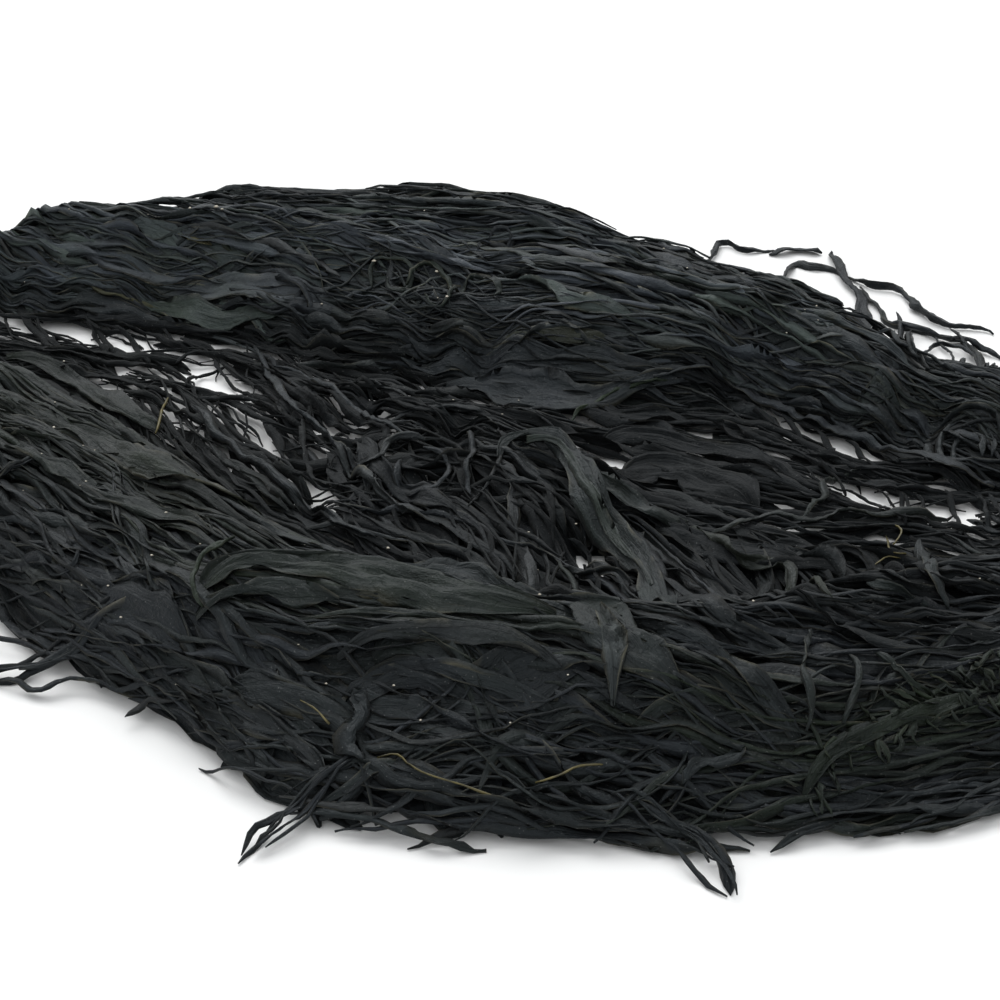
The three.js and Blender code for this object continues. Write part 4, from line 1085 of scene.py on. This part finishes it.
# Longer, calmer folds on the back stream: places in the view, width there.
BACK_FOLDS = [
    ([(-40, 292), (20, 294), (70, 300), (120, 306), (180, 319), (222, 328)], 13), ([(-20, 262), (40, 262), (84, 272), (124, 290)], 12),
    ([(30, 236), (90, 246), (140, 262), (190, 276), (246, 284)], 15), ([(96, 222), (150, 236), (190, 252), (220, 262)], 12),
    ([(160, 222), (220, 234), (262, 244), (300, 262), (334, 284)], 12), ([(318, 222), (360, 232), (404, 246), (452, 262), (500, 270)], 11),
    ([(320, 300), (356, 310), (404, 320), (456, 326), (520, 331)], 11), ([(276, 308), (330, 320), (384, 329), (440, 336), (500, 342)], 12),
    ([(480, 240), (530, 246), (580, 256), (632, 270)], 13), ([(560, 262), (606, 276), (650, 286), (700, 298)], 12),
    ([(640, 330), (690, 334), (740, 342), (790, 356), (832, 376)], 14), ([(700, 286), (740, 300), (784, 318), (826, 340), (866, 368)], 12),
    ([(730, 346), (780, 364), (826, 390), (870, 412), (920, 432)], 14), ([(780, 306), (826, 330), (866, 352), (900, 380)], 11),
    ([(880, 396), (920, 412), (960, 432), (1004, 450)], 13), ([(600, 356), (650, 362), (700, 366), (760, 372)], 10),
    ([(-60, 226), (0, 232), (50, 244), (92, 262)], 12), ([(200, 300), (250, 296), (300, 300), (352, 312)], 12),
    ([(0, 318), (60, 322), (120, 318), (180, 324), (240, 338)], 12), ([(240, 330), (300, 340), (360, 348), (430, 356)], 12),
]
# Bare yellow stems: places in the view, width there.
STEM_LINES = [
    ([(377, 757), (397, 754), (415, 770), (430, 776), (455, 785), (499, 797)], 3.6),
    ([(535, 784), (562, 779), (576, 770), (609, 765)], 3.6),
    ([(893, 524), (901, 533), (898, 545), (890, 549)], 3.0),
    ([(872, 566), (888, 560), (904, 562)], 2.6),
    ([(168, 398), (163, 412), (158, 424), (154, 440)], 4.2),
    ([(884, 540), (892, 552), (906, 560)], 2.4),
    ([(300, 700), (318, 712), (330, 730)], 2.6),
]


def over_there(line, px):
    """Half the width in millimetres of something px wide in the view."""
    x, y = line[len(line) // 2]
    deep = REACH + (y - TARGET[1]) * math.cos(TILT)
    return 0.5 * px * deep / FOCAL * 1.25


for points, px, pleat, curl, ruffle, fold, green, pale, over in OPEN_BLADES:
    line = laid_line(points)
    if len(line) < 6:
        continue
    blade(blades_a if back(line[len(line) // 2]) else blades_b, line, over_there(line, px), pleat=pleat, deep=0.46 * pleat if pleat < 5.2 else 2.4, curl=curl, ruffle=ruffle, fold=fold, look=(green, pale), taper=(0.26, 0.26), over=over, fine=1.05)
for points, px, twist, crease, green, pale, over in FOLDED_RIBBONS:
    line = laid_line(points, 2.5)
    if len(line) < 6:
        continue
    ribbon(ribbons_a if back(line[len(line) // 2]) else ribbons_b, line, over_there(line, px) * 0.9, thick=0.55, twist=twist, crease=crease, crinkle=0.35, look=(green, pale), over=over, step=2.6, tips=(0.12, 0.12), bridge=3 if len(line) < 30 else 7, wriggle=0.9, sink=1.4 if px < 10 else 0.5)

for points, px in BACK_FOLDS:
    for turn in range(2):
        shift = rng.uniform(-7, 7, 2) if turn else np.zeros(2)
        line = laid_line([(u + 3 * shift[0], v + 0.7 * shift[1]) for u, v in points], 3.0)
        if len(line) < 12:
            continue
        g, p = look_of(*line[len(line) // 2], 0.15)
        ribbon(ribbons_a if back(line[len(line) // 2]) else ribbons_b, line, over_there(line, px) * (0.95 - 0.2 * turn), thick=0.6, twist=0.35, crease=1.3, crinkle=0.18, look=(g, p), over=3.6, step=3.2, tips=(0.2, 0.2), bridge=4, wriggle=0.8, sink=0.5)
for points, px in CROSSINGS:
    line = laid_line(points, 2.0)
    if len(line) < 6:
        continue
    half = over_there(line, px) * 0.85
    # Crossings take pale lowered by 0.2: painted shade low between the streams.
    g, p = look_of(*line[len(line) // 2], -0.2)
    ribbon(strips_b, line, half, thick=min(0.5, 0.5 * half), twist=0.7, crease=0.8, crinkle=0.22, thin=True, look=(g, p), over=3.0, step=2.2, tips=(0.1, 0.1), bridge=1, wriggle=0.6)


def feather(points, px, green, pale, over, every=4.0, reach=(5, 13)):
    """Small curled lobes along both sides of a frond."""
    line = laid_line(points, 2.0)
    half = over_there(line, px)
    piece = strips_a if back(line[len(line) // 2]) else strips_b
    d = np.gradient(line, axis=0)
    d /= np.linalg.norm(d, axis=1, keepdims=True) + 1e-9
    k = 0.0
    while k < len(line) - 1:
        i = int(k)
        for sense in (-1, 1):
            if rng.random() < 0.15:
                continue
            turn = sense * rng.uniform(0.3, 1.2)
            bend = rng.normal(0, 0.3, 5).cumsum() + sense * rng.uniform(-0.35, 0.3) * np.arange(5)
            a = math.atan2(d[i, 1], d[i, 0]) + turn + bend
            size = rng.uniform(*reach) / 5
            lobe = line[i] + sense * 0.5 * half * np.array([-d[i, 1], d[i, 0]]) + np.concatenate([[[0, 0]], np.cumsum(size * np.stack([np.cos(a), np.sin(a)], 1), 0)])
            ribbon(piece, lobe, rng.uniform(0.7, 1.7), thick=0.3, step=1.8, twist=0.7, crease=0.9, crinkle=0.3, thin=True, over=over + rng.uniform(0, 1.6), look=(green, float(np.clip(pale + rng.normal(0, 0.2), -0.3, 1))), tips=(0.1, 0.35), bridge=1)
        k += every / 2.0 * rng.uniform(0.6, 1.4)


feather([(1004, 688), (960, 698), (918, 712), (880, 730), (851, 743), (822, 761), (800, 802)], 18, 1.0, 0.5, 4.5)
feather([(1010, 650), (985, 668), (955, 690), (930, 700)], 14, 0.9, 0.45, 4.5)
stems = Piece("stems")
for points, px in STEM_LINES:
    line = laid_line(points, 2.5)
    half = over_there(line, px) * 0.5
    ribbon(stems, line, half, thick=half * 0.9, twist=0.3, crease=0.1, crinkle=0.12, over=6.0, step=2.4, thin=True, wriggle=0.4)

specks = Piece("specks")
BALL = [(math.cos(a) * math.cos(b), math.sin(a) * math.cos(b), math.sin(b)) for b in (-0.9, 0.0, 0.9) for a in np.arange(0, 6.28, 1.2566)]
spots = [(190, 209, 0.9), (216, 209, 1.1), (222, 211, 0.8), (374, 265, 1.0), (437, 275, 0.8), (447, 300, 0.8), (54, 428, 0.7), (64, 362, 0.6), (152, 556, 0.6), (388, 549, 0.7)]
lie = places(90, (TOP > 14).astype(float), 0.3)
for n in range(len(spots) + len(lie)):
    if n < len(spots):
        x, y = on_bed(*spots[n][:2])[:2]
        r = spots[n][2]
    else:
        x, y = lie[n - len(spots)]
        r = rng.uniform(0.25, 0.6)
    ball = np.array(BALL) * r * rng.uniform(0.6, 1.3, (15, 3)) * np.array([1.2, 0.9, 0.6])
    z = float(sample(BED, x, y)) + 0.35 * r
    ball += (x, y, z)
    ball[:, 2] = np.maximum(ball[:, 2], 0.15)
    k = np.arange(5)
    quads = np.concatenate([np.stack([5 * h + k, 5 * h + (k + 1) % 5, 5 * h + 5 + (k + 1) % 5, 5 * h + 5 + k], 1) for h in (0, 1)])
    specks.add(ball, ball, np.tile(np.array([[0.5, 0.5, 0.5]]), (15, 1)), quads, [[4, 3, 2, 1, 0], [10, 11, 12, 13, 14]])
ALL = (core, under, blades_a, blades_b, ribbons_a, ribbons_b, strips_a, strips_b, strands, stems, specks)
for piece in ALL:
    print(piece.name, piece.faces)
print("faces in all", sum(piece.faces for piece in ALL))


# ---------------------------------------------------------------- materials
def seaweed_material(name, dark=1.0, rough=0.5):
    mat = bpy.data.materials.new(name)
    mat.use_nodes = True
    nt = mat.node_tree
    for nd in list(nt.nodes):
        nt.nodes.remove(nd)

    def node(kind, **props):
        nd = nt.nodes.new(kind)
        for key, value in props.items():
            setattr(nd, key, value)
        return nd

    def link(a, b):
        nt.links.new(a, b)

    def math_node(op, a, b=None, clamp=False):
        nd = node("ShaderNodeMath", operation=op, use_clamp=clamp)
        for i, val in enumerate((a, b)):
            if val is None:
                continue
            if isinstance(val, (int, float)):
                nd.inputs[i].default_value = val
            else:
                link(val, nd.inputs[i])
        return nd.outputs[0]

    def mix(fac, a, b):
        nd = node("ShaderNodeMix", data_type="RGBA")
        if isinstance(fac, (int, float)):
            nd.inputs[0].default_value = fac
        else:
            link(fac, nd.inputs[0])
        for sock, val in ((nd.inputs[6], a), (nd.inputs[7], b)):
            if isinstance(val, tuple):
                sock.default_value = (*val, 1.0)
            else:
                link(val, sock)
        return nd.outputs[2]

    def noise(vec, scale, detail=2.0, rough_=0.55, distort=0.0):
        nd = node("ShaderNodeTexNoise")
        nd.inputs["Scale"].default_value = scale
        nd.inputs["Detail"].default_value = detail
        nd.inputs["Roughness"].default_value = rough_
        nd.inputs["Distortion"].default_value = distort
        link(vec, nd.inputs["Vector"])
        return nd.outputs["Fac"]

    def stretch(vec, x, y, z):
        nd = node("ShaderNodeVectorMath", operation="MULTIPLY")
        link(vec, nd.inputs[0])
        nd.inputs[1].default_value = (x, y, z)
        return nd.outputs[0]

    def ramp(fac, stops):
        nd = node("ShaderNodeValToRGB")
        cr = nd.color_ramp
        while len(cr.elements) < len(stops):
            cr.elements.new(0.5)
        for e, (pos, col) in zip(cr.elements, stops):
            e.position = pos
            e.color = (*col, 1.0) if isinstance(col, tuple) else (col, col, col, 1.0)
        link(fac, nd.inputs[0])
        return nd.outputs[0]

    strand = node("ShaderNodeAttribute", attribute_name="strand").outputs["Vector"]
    look = node("ShaderNodeAttribute", attribute_name="look")
    sep = node("ShaderNodeSeparateXYZ")
    link(look.outputs["Vector"], sep.inputs[0])
    green, pale, edge = sep.outputs[0], sep.outputs[1], sep.outputs[2]
    place = node("ShaderNodeTexCoord").outputs["Object"]

    wrinkle = noise(stretch(strand, 0.42, 0.050, 1.0), 1.0, 4.0, 0.62, 0.5)
    hair = noise(stretch(strand, 1.7, 0.12, 1.0), 1.0, 2.0, 0.6, 0.3)
    own = noise(stretch(strand, 0.0, 0.0, 1.0), 3.7, 1.0)
    crumple = noise(place, 330.0, 3.0, 0.6, 0.6)
    patch = noise(stretch(strand, 0.09, 0.03, 1.0), 1.0, 3.0, 0.6)
    cloud = noise(place, 34.0, 3.0, 0.6)
    fine = noise(place, 900.0, 2.0, 0.6)

    blue = (0.0040 * dark, 0.0050 * dark, 0.0064 * dark)
    blue_pale = (0.0200 * dark, 0.0232 * dark, 0.0278 * dark)
    olive = (0.0040 * dark, 0.0060 * dark, 0.0026 * dark)
    olive_pale = (0.0132 * dark, 0.0205 * dark, 0.0076 * dark)
    # lightness: pale, partly the piece's own tone and partly painted light and painted shade, plus a random patch along
    # the strand.
    lightness = math_node("ADD", math_node("MULTIPLY", math_node("MAXIMUM", pale, -0.3), 0.62), math_node("MULTIPLY", math_node("SUBTRACT", ramp(patch, [(0.3, 0.0), (0.72, 1.0)]), 0.35), 0.55), True)
    # Painted shade and highlight on the wrinkles: the colour is darker where the wrinkle noise that drives the bump is
    # low and lighter where it is high.
    painted_wrinkle_shading = ramp(wrinkle, [(0.32, 0.55), (0.62, 1.15)])
    brown = math_node("MULTIPLY", ramp(own, [(0.52, 0.0), (0.66, 1.0)]), 0.55)
    c_blue = mix(lightness, blue, blue_pale)
    c_olive = mix(lightness, olive, olive_pale)
    greenish = math_node("ADD", math_node("MULTIPLY", green, 0.9), math_node("MULTIPLY", math_node("SUBTRACT", cloud, 0.5), 0.7), True)
    base = mix(greenish, c_blue, c_olive)
    tan = ramp(noise(stretch(strand, 0.02, 0.045, 1.0), 1.0, 2.0), [(0.50, 0.0), (0.64, 1.0)])
    base = mix(brown, base, mix(lightness, (0.0060 * dark, 0.0056 * dark, 0.0044 * dark), (0.0240 * dark, 0.0225 * dark, 0.0180 * dark)))
    gold = math_node("MULTIPLY", math_node("SUBTRACT", green, 1.0), 2.0, True)
    base = mix(gold, base, (0.050 * dark, 0.046 * dark, 0.022 * dark))
    rim = math_node("MULTIPLY", math_node("POWER", edge, 9.0), tan)
    base = mix(math_node("MULTIPLY", rim, 0.8), base, (0.085 * dark, 0.078 * dark, 0.052 * dark))
    amber = ramp(noise(stretch(strand, 0.06, 0.02, 1.0), 1.7, 2.0), [(0.66, 0.0), (0.74, 1.0)])
    base = mix(math_node("MULTIPLY", amber, 0.35), base, (0.022 * dark, 0.020 * dark, 0.009 * dark))
    mul = node("ShaderNodeMix", data_type="RGBA", blend_type="MULTIPLY")
    mul.inputs[0].default_value = 0.8
    link(base, mul.inputs[6])
    link(painted_wrinkle_shading, mul.inputs[7])
    base = mul.outputs[2]
    # Scales the colour: pale below 0 darkens it as painted shade, pale above 0.5 lightens it as painted highlight, and
    # the piece's own random tone varies it.
    dim = node("ShaderNodeVectorMath", operation="SCALE")
    link(base, dim.inputs[0])
    painted_highlight = math_node("MULTIPLY", math_node("MAXIMUM", math_node("SUBTRACT", pale, 0.5), 0.0), 1.5)
    link(math_node("MULTIPLY", math_node("ADD", math_node("ADD", math_node("MULTIPLY", math_node("MINIMUM", pale, 0.0), 0.95), painted_highlight), 1.0), math_node("ADD", math_node("MULTIPLY", own, 0.9), 0.55)), dim.inputs[3])
    base = dim.outputs[0]
    salt = ramp(noise(place, 1500.0, 0.0), [(0.80, 0.0), (0.83, 1.0)])
    base = mix(math_node("MULTIPLY", salt, 0.3), base, (0.25, 0.25, 0.24))

    bsdf = node("ShaderNodeBsdfPrincipled")
    link(base, bsdf.inputs["Base Color"])
    rgh = math_node("SUBTRACT", math_node("ADD", math_node("MULTIPLY", patch, 0.22), rough - 0.11), math_node("MULTIPLY", math_node("MINIMUM", pale, 0.0), 0.35), True)
    link(rgh, bsdf.inputs["Roughness"])
    bsdf.inputs["Specular IOR Level"].default_value = 0.24
    bsdf.inputs["Specular Tint"].default_value = (0.84, 0.94, 1.0, 1.0)
    bsdf.inputs["Sheen Weight"].default_value = 0.03
    bsdf.inputs["Sheen Roughness"].default_value = 0.5
    height = math_node("ADD", math_node("MULTIPLY", wrinkle, 1.0), math_node("ADD", math_node("MULTIPLY", hair, 0.24), math_node("MULTIPLY", fine, 0.08)))
    height = math_node("ADD", height, math_node("MULTIPLY", crumple, 0.55))
    bump = node("ShaderNodeBump")
    bump.inputs["Strength"].default_value = 0.7
    bump.inputs["Distance"].default_value = 0.0020
    link(height, bump.inputs["Height"])
    link(bump.outputs[0], bsdf.inputs["Normal"])
    out = node("ShaderNodeOutputMaterial")
    link(bsdf.outputs[0], out.inputs[0])
    return mat


def plain_material(name, light, dark, scale, rough):
    mat = bpy.data.materials.new(name)
    mat.use_nodes = True
    nt = mat.node_tree
    bsdf = nt.nodes["Principled BSDF"]
    place = nt.nodes.new("ShaderNodeTexCoord")
    tex = nt.nodes.new("ShaderNodeTexNoise")
    tex.inputs["Scale"].default_value = scale
    tex.inputs["Detail"].default_value = 3.0
    nt.links.new(place.outputs["Object"], tex.inputs["Vector"])
    tint = nt.nodes.new("ShaderNodeValToRGB")
    tint.color_ramp.elements[0].position, tint.color_ramp.elements[1].position = 0.35, 0.65
    tint.color_ramp.elements[0].color, tint.color_ramp.elements[1].color = (*dark, 1), (*light, 1)
    nt.links.new(tex.outputs["Fac"], tint.inputs[0])
    nt.links.new(tint.outputs[0], bsdf.inputs["Base Color"])
    bump = nt.nodes.new("ShaderNodeBump")
    bump.inputs["Strength"].default_value = 0.4
    bump.inputs["Distance"].default_value = 0.0003
    nt.links.new(tex.outputs["Fac"], bump.inputs["Height"])
    nt.links.new(bump.outputs[0], bsdf.inputs["Normal"])
    bsdf.inputs["Roughness"].default_value = rough
    return mat


frond = seaweed_material("dried_frond")
# The core's colour is the frond's at 0.4 of its brightness: painted shade deep inside the heap.
shade = seaweed_material("heap_inside_painted_shade", dark=0.4, rough=0.75)
stem = plain_material("bare_stem", (0.120, 0.098, 0.028), (0.044, 0.038, 0.013), 240.0, 0.5)
speck = plain_material("salt_and_shell", (0.62, 0.58, 0.50), (0.36, 0.32, 0.25), 700.0, 0.6)
core.make(shade)
for piece in (under, blades_a, blades_b, ribbons_a, ribbons_b, strips_a, strips_b, strands):
    piece.make(frond)
stems.make(stem)
specks.make(speck)

# ---------------------------------------------------------------- floor, light and camera
floor_mat = bpy.data.materials.new("pale_floor")
floor_mat.use_nodes = True
fb = floor_mat.node_tree.nodes["Principled BSDF"]
fb.inputs["Roughness"].default_value = 0.85
fn = floor_mat.node_tree.nodes.new("ShaderNodeTexNoise")
fn.inputs["Scale"].default_value = 6.0
fr = floor_mat.node_tree.nodes.new("ShaderNodeValToRGB")
fr.color_ramp.elements[0].color = (0.86, 0.86, 0.855, 1)
fr.color_ramp.elements[1].color = (0.90, 0.90, 0.895, 1)
floor_mat.node_tree.links.new(fn.outputs["Fac"], fr.inputs[0])
floor_mat.node_tree.links.new(fr.outputs[0], fb.inputs["Base Color"])
fm = bpy.data.meshes.new("floor")
fm.from_pydata([(-6, -6, 0), (6, -6, 0), (6, 6, 0), (-6, 6, 0)], [], [(0, 1, 2, 3)])
fm.materials.append(floor_mat)
floor = bpy.data.objects.new("floor", fm)
bpy.context.scene.collection.objects.link(floor)

world = bpy.data.worlds.new("studio")
world.use_nodes = True
world.node_tree.nodes["Background"].inputs[0].default_value = (0.95, 0.98, 1.0, 1)
world.node_tree.nodes["Background"].inputs[1].default_value = 0.50
bpy.context.scene.world = world


def soft_sun(name, turn, height, power, spread, colour=(1, 1, 1)):
    """A wide soft light from far away: turn round the heap from +X, and its height, in degrees."""
    data = bpy.data.lights.new(name, "SUN")
    data.energy = power
    data.angle = math.radians(spread)
    data.color = colour
    ob = bpy.data.objects.new(name, data)
    a, h = math.radians(turn), math.radians(height)
    at = Vector((math.cos(a) * math.cos(h), math.sin(a) * math.cos(h), math.sin(h)))
    ob.location = at * 2.0
    ob.rotation_euler = at.to_track_quat("Z", "Y").to_euler()
    bpy.context.scene.collection.objects.link(ob)


soft_sun("back_light", 105, 50, 2.3, 60)
soft_sun("front_light", -110, 58, 0.9, 70)

cam_data = bpy.data.cameras.new("camera")
cam_data.lens = LENS
cam_data.sensor_width = SENSOR
cam_data.clip_start, cam_data.clip_end = 0.05, 30
cam = bpy.data.objects.new("camera", cam_data)
cam.location = Vector(EYE * 0.001)
cam.rotation_euler = (Vector(TARGET * 0.001) - cam.location).to_track_quat("-Z", "Y").to_euler()
bpy.context.scene.collection.objects.link(cam)
bpy.context.scene.camera = cam
bpy.context.scene.view_settings.view_transform = "Standard"
